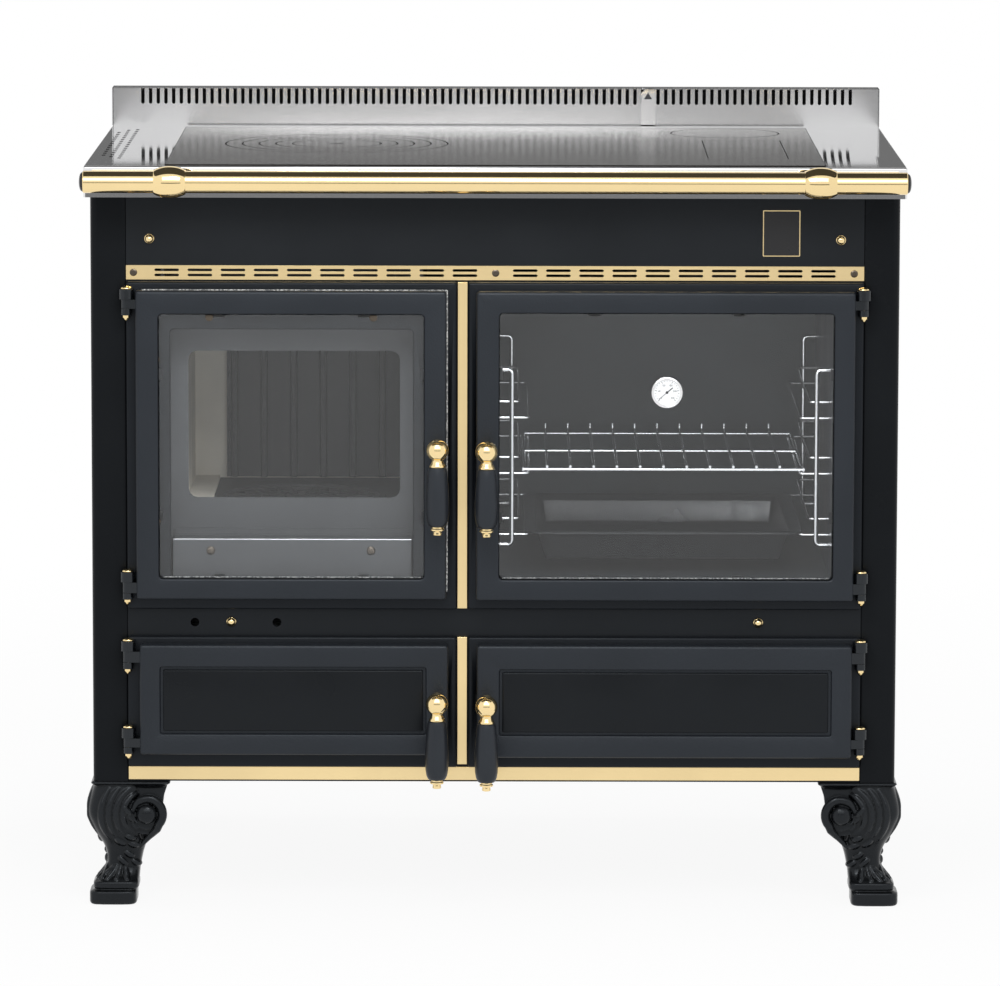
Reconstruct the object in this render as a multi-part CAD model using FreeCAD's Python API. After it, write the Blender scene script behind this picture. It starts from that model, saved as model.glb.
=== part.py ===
"""Wood-fired cast iron range cooker, 1 m wide, as separate pieces in millimetres.

The frame: X to the right, Y to the back, Z up. The origin is on the floor, at the middle
of the object's width and of its full depth from towel rail to flue spigot.
"""

import FreeCAD
import Part

import math
import os

V = FreeCAD.Vector
X_AXIS = V(1, 0, 0)
Y_AXIS = V(0, 1, 0)
Z_AXIS = V(0, 0, 1)

# Body and worktop
WORKTOP_WIDTH = 1000.0
WORKTOP_TOP = 917.0
WORKTOP_FRONT = -320.0
WORKTOP_BAND = 38.0
BODY_WIDTH = 988.0
BODY_FRONT = -290.0
BODY_REAR = 320.0
BODY_FLOOR = 154.5
POST_WIDTH = 44.0
POST_CORNER = 10.0
POST_FOLD = 18.0
REAR_FOLD = 24.0
CASING_SHEET = 2.0
FRAME_SHEET = 3.0
STEEL_SHEET = 1.5
BASE_RISE = 18.0
FASCIA_LOW = 793.5
FLOOR_LIP = 2.0
AIR_SLOT = (-420.0, 420.0, 778.5, 791.0)
AIR_HOLE_RADIUS = 5.5
AIR_HOLES = ((-367.7, 353.0), (-267.0, 353.0))
ACORN_NUTS = ((-421.5, 826.0), (421.5, 826.0), (-323.0, 353.8), (324.0, 353.8))

# Brass on the front: slotted vent strip, plinth strip, mullion strips
VENT_STRIP_LOW = 776.0
VENT_PAIRS = 10
VENT_FIRST = 36.8
VENT_PITCH = 40.4
VENT_LEVELS = (781.6, 787.9)
VENT_SLOT_LENGTH = 30.0
VENT_SLOT_HEIGHT = 3.2
PLINTH_STRIP = (157.0, 173.5)
MULLION_X = (-45.4, -33.4)
MULLION_HEIGHTS = ((372.0, 774.0), (178.0, 336.5))
MULLION_RISE = 8.5

# Clearances
GAP = 0.3
RUNNING = 0.06

# Hotplate and its lids
PLATE_HALF_WIDTH = 402.0
PLATE_FRONT = -303.0
PLATE_REAR = 257.0
PLATE_THICK = 10.0
PLATE_TOP = 918.0
LEDGE = 8.0
UNDER_LEDGE = PLATE_TOP - PLATE_THICK - STEEL_SHEET - GAP
RING_CENTRE = (-200.0, 0.0)
RING_RADII = (140.0, 119.0, 98.0, 77.0, 56.0)
RING_THICK = 8.0
SEAT_TAPER = 4.0
FLUE_CENTRE_X = 294.0
FLUE_LID_Y = 166.0
FLUE_LID_RADIUS = 69.5
HATCH_X = (262.0, 360.0)
HATCH_Y = (-206.0, 55.0)
LID_SIDES = 26

# Splashback
SPLASH_HALF_WIDTH = 499.0
SPLASH_FRONT = 280.0
SPLASH_TOP = 966.0
SPLASH_SLOT_LOW = 945.5
SPLASH_SLOT_WIDTH = 4.5
SPLASH_SLOT_PITCH = 10.0
SPLASH_SLOT_SPAN = (-459.0, 461.0)
DAMPER_X = (189.0, 207.6)
DAMPER_THICK = 3.0
DAMPER_TRAVEL = 40.0

# Towel rail
RAIL_Y = -360.0
RAIL_Z = 901.5
RAIL_RADIUS = 13.5
RAIL_SIDES = 20
RAIL_HALF_LENGTH = 499.5
RAIL_BALL_X = 393.0
RAIL_BALL_RADIUS = 20.0
RAIL_BALL_WIDTH = 38.0

# Front: doors stand on cast surrounds, which are bolted to the steel front frame
SURROUND_FRONT = BODY_FRONT - 10.0
DOOR_THICK = 17.7
DOOR_REAR = SURROUND_FRONT - GAP
DOOR_FRONT = DOOR_REAR - DOOR_THICK
HINGE_X = 449.0
HINGE_Y = -309.0
HANDLE_STANDOFF = 35.0

# Each front opening: surround outline, throat through it, door outline, handle, hinge lugs.
# side is -1 for a door hung on the left and +1 for one hung on the right.
FIRE = {
    "side": -1,
    "surround": (-450.0, -46.3, 370.6, 774.0),
    "throat": (-396.0, -100.0, 404.0, 716.0),
    "door": (-438.0, -59.0, 385.0, 765.0),
    "window": (-410.0, -86.4, 411.0, 736.0),
    "handle": (-69.6, 574.7),
    "lugs": ((742.6, 753.6), (392.6, 405.6)),
}
OVEN = {
    "side": 1,
    "surround": (-32.5, 450.0, 371.0, 774.0),
    "throat": (4.0, 413.0, 404.0, 742.0),
    "door": (-22.4, 439.2, 384.0, 764.6),
    "window": (5.6, 413.4, 410.6, 738.0),
    "handle": (-9.6, 572.5),
    "lugs": ((742.6, 753.6), (392.6, 405.6)),
}
ASH = {
    "side": -1,
    "surround": (-450.0, -46.5, 174.5, 336.5),
    "throat": (-404.0, -92.0, 205.0, 312.0),
    "door": (-434.8, -56.5, 192.0, 329.0),
    "panel": (-409.7, -83.5, 218.0, 301.6),
    "handle": (-69.9, 262.0),
    "lugs": ((306.5, 320.0), (201.0, 212.0)),
}
STORE = {
    "side": 1,
    "surround": (-32.3, 450.0, 174.5, 336.5),
    "throat": (6.0, 413.0, 208.0, 312.0),
    "door": (-21.4, 438.6, 189.0, 329.0),
    "panel": (6.2, 413.4, 217.0, 299.0),
    "handle": (-9.3, 259.0),
    "lugs": ((306.5, 320.0), (201.0, 212.0)),
}

# Hinges
KNUCKLE_UPPER = (9.0, 12.5)
KNUCKLE_LOWER = (6.5, 8.0)
LUG_RADIUS = 6.5
PIN_RADIUS = 3.0
HINGE_SIDES = 8
THERMOMETER = (210.0, 641.0)
THERMOMETER_RADIUS = 20.0
THERMOMETER_SIDES = 12

# Door handle, as (radius, distance below the ball's centre)
BALL_RADIUS = 13.5
SPINDLE_RADIUS = 3.5
STEM_RADIUS = 3.0
GRIP_TOP = 20.5
GRIP_LENGTH = 73.0
FERRULE_LENGTH = 11.0
HANDLE_SIDES = 8

# Firebox
FIREBOX = (-404.0, -92.0, BODY_FRONT + FRAME_SHEET, 130.0, 205.0, UNDER_LEDGE)
FIREBOX_WALL = 4.0
GRATE_LEVEL = 470.0
FRONT_PLATE_Y = -240.0
FRONT_PLATE_SHEET = 3.0
GUARD_LEVELS = (405.0, 455.0, 463.0)
FIRE_OPENING = (-377.0, -116.5, 501.0, 683.0)
FIRE_OPENING_CORNER = 11.0
BRICK = 20.0
GRATE_LEFT = -352.0
GRATE_CENTRE = (-244.0, -80.0)
GRATE_PLATE = 10.0
GRATE_RIM = 13.0
BACK_PLATE_LEFT = -343.0
BACK_PLATE_Y = 98.0
RIB_PITCH = 37.8
ASH_FALL_X = (-340.0, -144.0)
ASH_FALL_Y = (-180.0, 20.0)
GAS_PORT_Y = (-150.0, 60.0)
GAS_PORT_Z = (790.0, 870.0)
BRICK_TOP = 862.0
PAN_X = (-390.0, -106.0)
PAN_Y = (-250.0, 105.0)
PAN_Z = (205.0 + GAP, 290.0)
BAIL_HALF = 45.0
BAIL_REACH = 22.0
BAIL_Z = 262.0

# Mouths in the front frame, as (left, right, low, high)
FIREBOX_MOUTH = (FIREBOX[0], FIREBOX[1], 398.0, 722.0)
ASH_MOUTH = (FIREBOX[0], FIREBOX[1], 205.0, 315.0)

# Oven and store
OVEN_BOX = (4.0, 413.0, BODY_FRONT, 150.0, 404.0, 742.0)
STORE_BOX = (6.0, 413.0, BODY_FRONT, 260.0, 208.0, 312.0)
LINER_SHEET = 2.5
RACK_STEM = 17.0
RACK_Y = (-240.0, 118.0)
RACK_HEIGHTS = (444.0, 661.0)
RACK_UPRIGHT = 3.0
RUNG_LEVELS = (466.0, 542.0, 611.0)
RUNG_SPREAD = 10.0
RUNG_HALF = 1.7
RUNG_REACH = (38.0, 26.0)
SHELF_X = (36.0, 380.0)
SHELF_Y = (-235.0, 115.0)
SHELF_BARS = 11
SHELF_FRAME_WIRE = 2.5
SHELF_BAR_WIRE = 2.0
SHELF_STOP = 14.0
TRAY_RIM_X = (36.0, 380.0)
TRAY_Y = (-245.0, 110.0)
TRAY_DEPTH = 38.0

OVEN_MOUTH = (OVEN_BOX[0] - LINER_SHEET, OVEN_BOX[1] + LINER_SHEET,
              OVEN_BOX[4] - LINER_SHEET, OVEN_BOX[5] + LINER_SHEET)
STORE_MOUTH = (STORE_BOX[0] - LINER_SHEET, STORE_BOX[1] + LINER_SHEET,
               STORE_BOX[4] - LINER_SHEET, STORE_BOX[5] + LINER_SHEET)

# Flue
FLUE_BOX_HALF = 80.0
FLUE_BOX_FRONT = 170.0
FLUE_BOX_FLOOR = 715.0
FLUE_BOX_WALL = 4.0
FLUE_SPIGOT_RADIUS = 74.5
FLUE_SPIGOT_WALL = 4.5
FLUE_SPIGOT_Z = 800.0
FLUE_SPIGOT_END = 380.0
FLUE_INLET_SIDE = 24.0
FLUE_INLET_RISE = 60.0

# Feet
FOOT_TOP_WIDTH = 100.0
FOOT_FLANGE = 5.0
VOLUTE_CENTRE = (66.0, 113.0)
VOLUTE_RADIUS = 21.5


# ---------------------------------------------------------------- forms

def box(x0, x1, y0, y1, z0, z1):
    return Part.makeBox(x1 - x0, y1 - y0, z1 - z0, V(x0, y0, z0))


def cylinder(radius, length, base, axis):
    return Part.makeCylinder(radius, length, base, axis)


def fused(pieces):
    whole = pieces[0]
    if len(pieces) > 1:
        whole = pieces[0].multiFuse(pieces[1:])
    return whole.removeSplitter()


def cut(body, tools):
    return body.cut(Part.makeCompound(tools)).removeSplitter()


def polygon_face(points):
    return Part.Face(Part.makePolygon(points + points[:1]))


def skinned(rings, closed=False):
    """A solid with flat faces through rings of as many points each.

    Its two end rings are capped, or, when closed, the last ring joins the first.
    """
    faces = []
    if not closed:
        faces = [polygon_face(rings[0]), polygon_face(rings[-1])]
    following = rings[1:] + (rings[:1] if closed else [])
    for low, high in zip(rings, following):
        for i in range(len(low)):
            j = (i + 1) % len(low)
            faces.append(polygon_face([low[i], low[j], high[j], high[i]]))
    solid = Part.Solid(Part.Shell(faces))
    if solid.Volume < 0:
        solid.reverse()
    return solid.removeSplitter()


def placed(shape, base, axis):
    """The shape, with its own +Z turned to axis and its origin moved to base."""
    moved = shape.copy()
    moved.Placement = FreeCAD.Placement(base, FreeCAD.Rotation(Z_AXIS, axis))
    return moved


def turned(profile, sides, base=V(0, 0, 0), axis=Z_AXIS, closed=False):
    """A turned form with flat sides, through (radius, height) pairs."""
    rings = []
    for radius, height in profile:
        turns = [2 * math.pi * (i + 0.5) / sides for i in range(sides)]
        rings.append([V(radius * math.cos(a), radius * math.sin(a), height) for a in turns])
    return placed(skinned(rings, closed), base, axis)


def wire(points, radius, sides=6):
    """A bent wire in one plane, as a prism mitred at its bends."""
    path = [V(*p) for p in points]
    runs = [(b - a).normalize() for a, b in zip(path, path[1:])]
    across = runs[0].cross(runs[-1])
    for run in runs[1:]:
        if across.Length < 1e-6:
            across = runs[0].cross(run)
    if across.Length < 1e-6:
        across = runs[0].cross(Z_AXIS if abs(runs[0].z) < 0.9 else X_AXIS)
    across.normalize()
    rings = []
    for k, point in enumerate(path):
        before = runs[max(k - 1, 0)]
        after = runs[min(k, len(runs) - 1)]
        along = (before + after).normalize()
        side = along.cross(across).multiply(1 / along.dot(before))
        ring = []
        for i in range(sides):
            turn = 2 * math.pi * (i + 0.5) / sides
            ring.append(point + across * (radius * math.sin(turn)) + side * (radius * math.cos(turn)))
        rings.append(ring)
    return skinned(rings)


def bore(shaft_radius, sides, length, base, axis):
    """The cutter of a running bore for a shaft with flat sides, clear of it at every turn."""
    radius = (shaft_radius + RUNNING) / math.cos(math.pi / sides)
    return turned([(radius, 0), (radius, length)], sides, base, axis)


def rectangle(x0, x1, z0, z1, y, grow=0.0):
    x0, x1, z0, z1 = x0 - grow, x1 + grow, z0 - grow, z1 + grow
    return [V(x0, y, z0), V(x1, y, z0), V(x1, y, z1), V(x0, y, z1)]


def bevelled_plate(outline, front, rear, bevel):
    """A plate in the XZ plane whose front edges are bevelled."""
    return skinned([
        rectangle(*outline, front, -bevel),
        rectangle(*outline, front + bevel),
        rectangle(*outline, rear),
    ])


def bevelled_hole(outline, front, rear, bevel):
    """The cutter of a hole in the XZ plane that widens at its front."""
    return skinned([
        rectangle(*outline, front, bevel),
        rectangle(*outline, front + bevel),
        rectangle(*outline, rear),
    ])


def rounded_hole(outline, corner, front, depth):
    """The cutter of a hole in the XZ plane with rounded corners."""
    x0, x1, z0, z1 = inset(outline, corner)
    points = []
    for x, z, start in ((x1, z1, 0), (x0, z1, 90), (x0, z0, 180), (x1, z0, 270)):
        for step in range(4):
            turn = math.radians(start + 30 * step)
            points.append(V(x + corner * math.cos(turn), front, z + corner * math.sin(turn)))
    return polygon_face(points).extrude(V(0, depth, 0))


def slab(outline, front, rear):
    x0, x1, z0, z1 = outline
    return box(x0, x1, front, rear, z0, z1)


def inset(outline, amount):
    x0, x1, z0, z1 = outline
    return (x0 + amount, x1 - amount, z0 + amount, z1 - amount)


def tray_form(x, y, z, sheet):
    """An open-topped box of sheet, inside the given spans."""
    outer = box(x[0], x[1], y[0], y[1], z[0], z[1])
    inner = box(x[0] + sheet, x[1] - sheet, y[0] + sheet, y[1] - sheet, z[0] + sheet, z[1])
    return outer.cut(inner)


# ---------------------------------------------------------------- casing

def base_pan():
    """Shallow floor pan, its front corners notched for the folded posts."""
    half = BODY_WIDTH / 2 - CASING_SHEET
    post = BODY_WIDTH / 2 - POST_WIDTH
    front = BODY_FRONT + FRAME_SHEET
    pan = tray_form((-half, half), (front, BODY_REAR - CASING_SHEET),
                    (BODY_FLOOR, BODY_FLOOR + BASE_RISE), CASING_SHEET)
    notches = []
    for x0, x1 in ((-half - 1, -post), (post, half + 1)):
        notches.append(box(x0, x1, front - 1, BODY_FRONT + POST_FOLD, BODY_FLOOR - 1,
                           BODY_FLOOR + BASE_RISE + 1))
    return cut(pan, notches)


def side_panel(side):
    """Sheet side, folded round a rounded front corner into the post, and in again at the rear."""
    half = BODY_WIDTH / 2
    post = half - POST_WIDTH
    low_y, high_y = BODY_FRONT, BODY_REAR

    def fold(shrink):
        radius = POST_CORNER - shrink
        outer, front, rear = half - shrink, low_y + shrink, high_y - shrink
        corner = V(outer - radius, front + radius, 0)
        lean = radius * math.sqrt(0.5)
        middle = V(corner.x + lean, corner.y - lean, 0)
        return (
            V(post + shrink, front, 0), V(corner.x, front, 0), middle,
            V(outer, corner.y, 0), V(outer, rear, 0),
        )

    a, b, mid, c, d = fold(0)
    a2, b2, mid2, c2, d2 = fold(CASING_SHEET)
    lip, rear_lip = low_y + POST_FOLD, half - REAR_FOLD
    post_lip = [V(post, lip, 0), V(post + CASING_SHEET, lip, 0)]
    end = [V(rear_lip, high_y, 0), V(rear_lip, high_y - CASING_SHEET, 0)]
    edges = [
        Part.makeLine(a, b), Part.Arc(b, mid, c).toShape(), Part.makeLine(c, d),
        Part.makeLine(d, end[0]), Part.makeLine(end[0], end[1]), Part.makeLine(end[1], d2),
        Part.makeLine(d2, c2), Part.Arc(c2, mid2, b2).toShape(), Part.makeLine(b2, a2),
        Part.makeLine(a2, post_lip[1]), Part.makeLine(post_lip[1], post_lip[0]),
        Part.makeLine(post_lip[0], a),
    ]
    height = WORKTOP_TOP - STEEL_SHEET - BODY_FLOOR
    panel = Part.Face(Part.Wire(edges)).extrude(V(0, 0, height))
    panel.translate(V(0, 0, BODY_FLOOR))
    if side < 0:
        panel = panel.mirror(V(0, 0, 0), X_AXIS)
    return panel


def rear_panel():
    half = BODY_WIDTH / 2 - REAR_FOLD
    panel = box(-half, half, BODY_REAR - CASING_SHEET, BODY_REAR, BODY_FLOOR,
                WORKTOP_TOP - STEEL_SHEET)
    centre = V(FLUE_CENTRE_X, BODY_REAR - 2 * CASING_SHEET, FLUE_SPIGOT_Z)
    around = FLUE_SPIGOT_RADIUS + 3
    return panel.cut(turned([(around, 0), (around, 4 * CASING_SHEET)], 16, centre, Y_AXIS))


def top_fascia():
    """The plain panel under the worktop, its ends folded in against the posts."""
    half = BODY_WIDTH / 2 - POST_WIDTH
    panel = box(-half, half, BODY_FRONT, BODY_FRONT + POST_FOLD, FASCIA_LOW, UNDER_LEDGE)
    behind = box(-half + CASING_SHEET, half - CASING_SHEET, BODY_FRONT + CASING_SHEET,
                 BODY_FRONT + POST_FOLD + 1, FASCIA_LOW - 1, UNDER_LEDGE + 1)
    return panel.cut(behind)


def front_frame():
    """Welded steel frame that carries the surrounds: plinth, mid rail, mullion, air slot."""
    half = BODY_WIDTH / 2 - POST_WIDTH
    low = BODY_FLOOR + FLOOR_LIP
    plate = box(-half, half, BODY_FRONT, BODY_FRONT + FRAME_SHEET, low, FASCIA_LOW)
    holes = []
    for opening in (FIREBOX_MOUTH, ASH_MOUTH, OVEN_MOUTH, STORE_MOUTH, AIR_SLOT):
        holes.append(slab(opening, BODY_FRONT - 1, BODY_FRONT + FRAME_SHEET + 1))
    bored = [(AIR_HOLE_RADIUS, 0), (AIR_HOLE_RADIUS, FRAME_SHEET + 2)]
    for x, z in AIR_HOLES:
        holes.append(turned(bored, 12, V(x, BODY_FRONT - 1, z), Y_AXIS))
    return cut(plate, holes)


def vent_strip():
    """Brass strip with pairs of level slots, one pair each side of the middle and outwards."""
    half = BODY_WIDTH / 2 - POST_WIDTH
    strip = box(-half, half, BODY_FRONT - STEEL_SHEET, BODY_FRONT, VENT_STRIP_LOW, FASCIA_LOW)
    reach, rise = VENT_SLOT_LENGTH / 2, VENT_SLOT_HEIGHT / 2
    slots = []
    for pair in range(VENT_PAIRS):
        for side in (-1, 1):
            middle = side * (VENT_FIRST + VENT_PITCH * pair)
            for level in VENT_LEVELS:
                slots.append(box(middle - reach, middle + reach, BODY_FRONT - 4, BODY_FRONT + 1,
                                 level - rise, level + rise))
    return strip.cut(Part.makeCompound(slots))


def brass_trim_strips():
    """Plinth strip, and the strips on the mullion between the upper and the lower doors."""
    half = BODY_WIDTH / 2 - POST_WIDTH
    strips = [box(-half, half, BODY_FRONT - STEEL_SHEET, BODY_FRONT, *PLINTH_STRIP)]
    for low, high in MULLION_HEIGHTS:
        strips.append(box(*MULLION_X, BODY_FRONT - MULLION_RISE, BODY_FRONT, low, high))
    return Part.makeCompound(strips)


# ---------------------------------------------------------------- feet

def foot():
    """Cast cabriole foot for the corner at the origin, its scrolls towards +X and +Y.

    The leg's levels are (height, outer edge, inner edge), measured in from the body's side.
    """
    levels = (
        (149.5, 0.0, 60.0), (127.0, -7.0, 54.0), (112.0, -7.2, 52.0), (96.0, 0.0, 56.0),
        (76.0, 8.6, 61.0), (57.0, 14.6, 58.5), (40.0, 13.0, 57.0), (25.0, -3.0, 55.0),
    )
    rings = []
    for height, outer, inner in levels:
        soft = 0.28 * (inner - outer)
        low, high = outer + soft, inner - soft
        rings.append([V(*p, height) for p in (
            (low, outer), (high, outer), (inner, low), (inner, high),
            (high, inner), (low, inner), (outer, high), (outer, low),
        )])
    pad = skinned([foot_square(*level) for level in ((0, -5, 55), (14, -5, 55), (25, -1, 51))])
    flange = box(0, FOOT_TOP_WIDTH, 0, FOOT_TOP_WIDTH, BODY_FLOOR - FOOT_FLANGE, BODY_FLOOR)
    scroll = foot_scroll()
    other = scroll.mirror(V(0, 0, 0), V(1, -1, 0))
    return fused([skinned(rings), pad, flange, scroll, other])


def foot_square(height, low, high):
    return [V(low, low, height), V(high, low, height), V(high, high, height), V(low, high, height)]


def foot_scroll():
    """One side scroll: a volute with a raised boss, under a web that meets the flange."""
    centre_x, centre_z = VOLUTE_CENTRE
    radius = VOLUTE_RADIUS
    top = BODY_FLOOR - FOOT_FLANGE
    outline = [V(40, 1, centre_z - radius), V(40, 1, top), V(95, 1, top), V(89, 1, 133)]
    for step in range(5):
        turn = math.radians(10 - 25 * step)
        outline.append(V(centre_x + radius * math.cos(turn), 1, centre_z + radius * math.sin(turn)))
    web = polygon_face(outline).extrude(V(0, 18, 0))
    boss = turned([(12, -2), (10, 6)], 8, V(centre_x, 3, centre_z), V(0, -1, 0))
    return web.fuse(boss)


def feet():
    half = BODY_WIDTH / 2
    corner = foot()
    corner.translate(V(-half, BODY_FRONT, 0))
    front_right = corner.mirror(V(0, 0, 0), X_AXIS)
    middle = V(0, (BODY_FRONT + BODY_REAR) / 2, 0)
    rear = [piece.mirror(middle, Y_AXIS) for piece in (corner, front_right)]
    return Part.makeCompound([corner, front_right] + rear)


# ---------------------------------------------------------------- top

def worktop():
    """Folded steel top with a band all round, and a sunk ledge for the hotplate."""
    half = WORKTOP_WIDTH / 2
    low = WORKTOP_TOP - WORKTOP_BAND
    t = STEEL_SHEET
    skin = box(-half, half, WORKTOP_FRONT, BODY_REAR, low, WORKTOP_TOP)
    under = box(-half + t, half - t, WORKTOP_FRONT + t, BODY_REAR + t, low - 1, WORKTOP_TOP - t)
    ledge_top = PLATE_TOP - PLATE_THICK
    x = PLATE_HALF_WIDTH + 0.4
    y0, y1 = PLATE_FRONT - 0.4, PLATE_REAR + 0.4
    well = box(-x - t, x + t, y0 - t, y1 + t, ledge_top - t, WORKTOP_TOP)
    body = fused([skin.cut(under), well])
    tools = [
        box(-x, x, y0, y1, ledge_top, WORKTOP_TOP + 1),
        box(-x + LEDGE, x - LEDGE, y0 + LEDGE, y1 - LEDGE, ledge_top - 5, WORKTOP_TOP),
        box(DAMPER_X[0] - 0.5, DAMPER_X[1] + 0.5, SPLASH_FRONT - DAMPER_THICK - 1.2,
            SPLASH_FRONT - 0.2, WORKTOP_TOP - 5, WORKTOP_TOP + 1),
    ]
    return cut(body, tools)


def conical_seat(radius, centre, thick, shrink=0.0):
    """The cutter or lid of a round seat that narrows downwards."""
    low = PLATE_TOP - thick
    profile = [(radius - SEAT_TAPER - shrink, 0), (radius - shrink, thick)]
    return turned(profile, LID_SIDES, V(centre[0], centre[1], low))


def hotplate():
    plate = box(-PLATE_HALF_WIDTH, PLATE_HALF_WIDTH, PLATE_FRONT, PLATE_REAR,
                PLATE_TOP - PLATE_THICK, PLATE_TOP)
    flue_centre = (FLUE_CENTRE_X, FLUE_LID_Y)
    step = PLATE_TOP - PLATE_THICK / 2
    tools = [
        conical_seat(RING_RADII[0], RING_CENTRE, PLATE_THICK),
        conical_seat(FLUE_LID_RADIUS, flue_centre, PLATE_THICK),
        box(*HATCH_X, *HATCH_Y, step, PLATE_TOP + 1),
        box(HATCH_X[0] + 6, HATCH_X[1] - 6, HATCH_Y[0] + 6, HATCH_Y[1] - 6, 900, PLATE_TOP),
    ]
    return cut(plate, tools)


def hob_ring(number):
    """One loose ring, counted from the outermost, whose hole seats the next one."""
    outer = conical_seat(RING_RADII[number - 1], RING_CENTRE, RING_THICK, GAP)
    inner = conical_seat(RING_RADII[number], RING_CENTRE, RING_THICK)
    return outer.cut(inner)


def hob_centre_lid():
    lid = conical_seat(RING_RADII[-1], RING_CENTRE, RING_THICK, GAP)
    lifter = box(RING_CENTRE[0] - 9, RING_CENTRE[0] + 9, -4, 4, PLATE_TOP - 4, PLATE_TOP + 1)
    return lid.cut(lifter)


def flue_lid():
    return conical_seat(FLUE_LID_RADIUS, (FLUE_CENTRE_X, FLUE_LID_Y), RING_THICK, GAP)


def soot_hatch():
    thick = PLATE_THICK / 2 - GAP
    x0, x1 = HATCH_X[0] + GAP, HATCH_X[1] - GAP
    y0, y1 = HATCH_Y[0] + GAP, HATCH_Y[1] - GAP
    lid = box(x0, x1, y0, y1, PLATE_TOP - thick, PLATE_TOP)
    rib = box(x0 + 12, x1 - 12, y0 + 12, y1 - 12, PLATE_TOP - thick - 4, PLATE_TOP - thick)
    return lid.fuse(rib)


def splashback():
    """Hollow upstand; a row of upright slots runs along its face, open at its top edge."""
    t = STEEL_SHEET
    half = SPLASH_HALF_WIDTH
    outer = box(-half, half, SPLASH_FRONT, BODY_REAR, WORKTOP_TOP, SPLASH_TOP)
    inner = box(-half + t, half - t, SPLASH_FRONT + t, BODY_REAR - t, WORKTOP_TOP - 1,
                SPLASH_TOP - t)
    slots = []
    first, last = SPLASH_SLOT_SPAN
    for number in range(round((last - first) / SPLASH_SLOT_PITCH) + 1):
        x = first + SPLASH_SLOT_PITCH * number
        slots.append(box(x - SPLASH_SLOT_WIDTH / 2, x + SPLASH_SLOT_WIDTH / 2,
                         SPLASH_FRONT - 1, SPLASH_FRONT + t, SPLASH_SLOT_LOW, SPLASH_TOP + 1))
    return outer.cut(inner).cut(Part.makeCompound(slots))


def damper_lever():
    """Flat pull that stands in front of the upstand, with a wider foot below the worktop."""
    y1 = SPLASH_FRONT - GAP - 0.4
    y0 = y1 - DAMPER_THICK
    tab = box(*DAMPER_X, y0, y1, WORKTOP_TOP - 55, SPLASH_TOP)
    corner = [e for e in tab.Edges
              if abs(e.CenterOfMass.x - DAMPER_X[0]) < 0.1 and abs(e.CenterOfMass.z - SPLASH_TOP) < 0.1]
    tab = tab.makeChamfer(5, corner)
    foot_plate = box(DAMPER_X[0] - 5, DAMPER_X[1] + 5, y0, y1, WORKTOP_TOP - 60,
                     WORKTOP_TOP - 55)
    return fused([tab, foot_plate])


# ---------------------------------------------------------------- towel rail

def towel_rail():
    base = V(-RAIL_HALF_LENGTH, RAIL_Y, RAIL_Z)
    length = 2 * RAIL_HALF_LENGTH
    inside = RAIL_RADIUS - STEEL_SHEET
    profile = [(RAIL_RADIUS, 0), (RAIL_RADIUS, length), (inside, length), (inside, 0)]
    return turned(profile, RAIL_SIDES, base, X_AXIS, closed=True)


def rail_brackets():
    """Ball with flat ends on a turned post, screwed to the worktop's band."""
    brackets = []
    for side in (-1, 1):
        half = RAIL_BALL_WIDTH / 2
        steps = 4
        profile = []
        for i in range(steps + 1):
            along = half * (2 * i / steps - 1)
            profile.append((math.sqrt(RAIL_BALL_RADIUS ** 2 - (0.82 * along) ** 2), along))
        centre = V(side * RAIL_BALL_X, RAIL_Y, RAIL_Z)
        ball = turned(profile, 10, centre, X_AXIS)
        post = turned([(9, 16), (9, 34), (14, 40)], 10, centre, Y_AXIS)
        through = bore(RAIL_RADIUS, RAIL_SIDES, 60, centre - V(30, 0, 0), X_AXIS)
        brackets.append(ball.fuse(post).cut(through))
    return Part.makeCompound(brackets)


def rail_end_caps():
    caps = []
    for side in (-1, 1):
        base = V(side * (RAIL_HALF_LENGTH - 8), RAIL_Y, RAIL_Z)
        plug = (RAIL_RADIUS - STEEL_SHEET - RUNNING) * math.cos(math.pi / RAIL_SIDES)
        profile = [(plug, 0), (plug, 8), (13.5, 8), (12.0, 10.4), (7, 11.2)]
        caps.append(turned(profile, 12, base, V(side, 0, 0)))
    return Part.makeCompound(caps)


# ---------------------------------------------------------------- surrounds and hinges

def ear(radius, reach, base, length, towards):
    """A hinge ear: half round about the pin, with straight sides that reach towards its carrier."""
    across = towards.cross(Z_AXIS)
    outline = [base + towards * reach - across * radius]
    for step in range(5):
        turn = math.pi * step / 4
        outline.append(base - across * (radius * math.cos(turn)) - towards * (radius * math.sin(turn)))
    outline.append(base + towards * reach + across * radius)
    return polygon_face(outline).extrude(V(0, 0, length))


def surround(opening):
    """Flat cast frame with its hinge knuckles and the pocket that the latch turns in."""
    side = opening["side"]
    plate = bevelled_plate(opening["surround"], SURROUND_FRONT, BODY_FRONT, 2.5)
    axis_x = side * HINGE_X
    ears = []
    bores = []
    for low, high in opening["lugs"]:
        for radius, start, length in (
            (KNUCKLE_UPPER[0], high + GAP, KNUCKLE_UPPER[1]),
            (KNUCKLE_LOWER[0], low - GAP - KNUCKLE_LOWER[1], KNUCKLE_LOWER[1]),
        ):
            reach = BODY_FRONT - 1 - HINGE_Y
            ears.append(ear(radius, reach, V(axis_x, HINGE_Y, start), length, Y_AXIS))
            socket = [(PIN_RADIUS + 0.05, -1), (PIN_RADIUS + 0.05, length + 1)]
            bores.append(turned(socket, HINGE_SIDES, V(axis_x, HINGE_Y, start)))
    tools = [slab(opening["throat"], SURROUND_FRONT - 1, BODY_FRONT + 1)]
    handle_x, handle_z = opening["handle"]
    ends = sorted((handle_x + side * 7.4, handle_x - side * 14.6))
    tools.append(slab((*ends, handle_z - 15.6, handle_z + 6.4), SURROUND_FRONT - 1, BODY_FRONT + 1))
    return cut(fused([plate] + ears), tools + bores)


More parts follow.
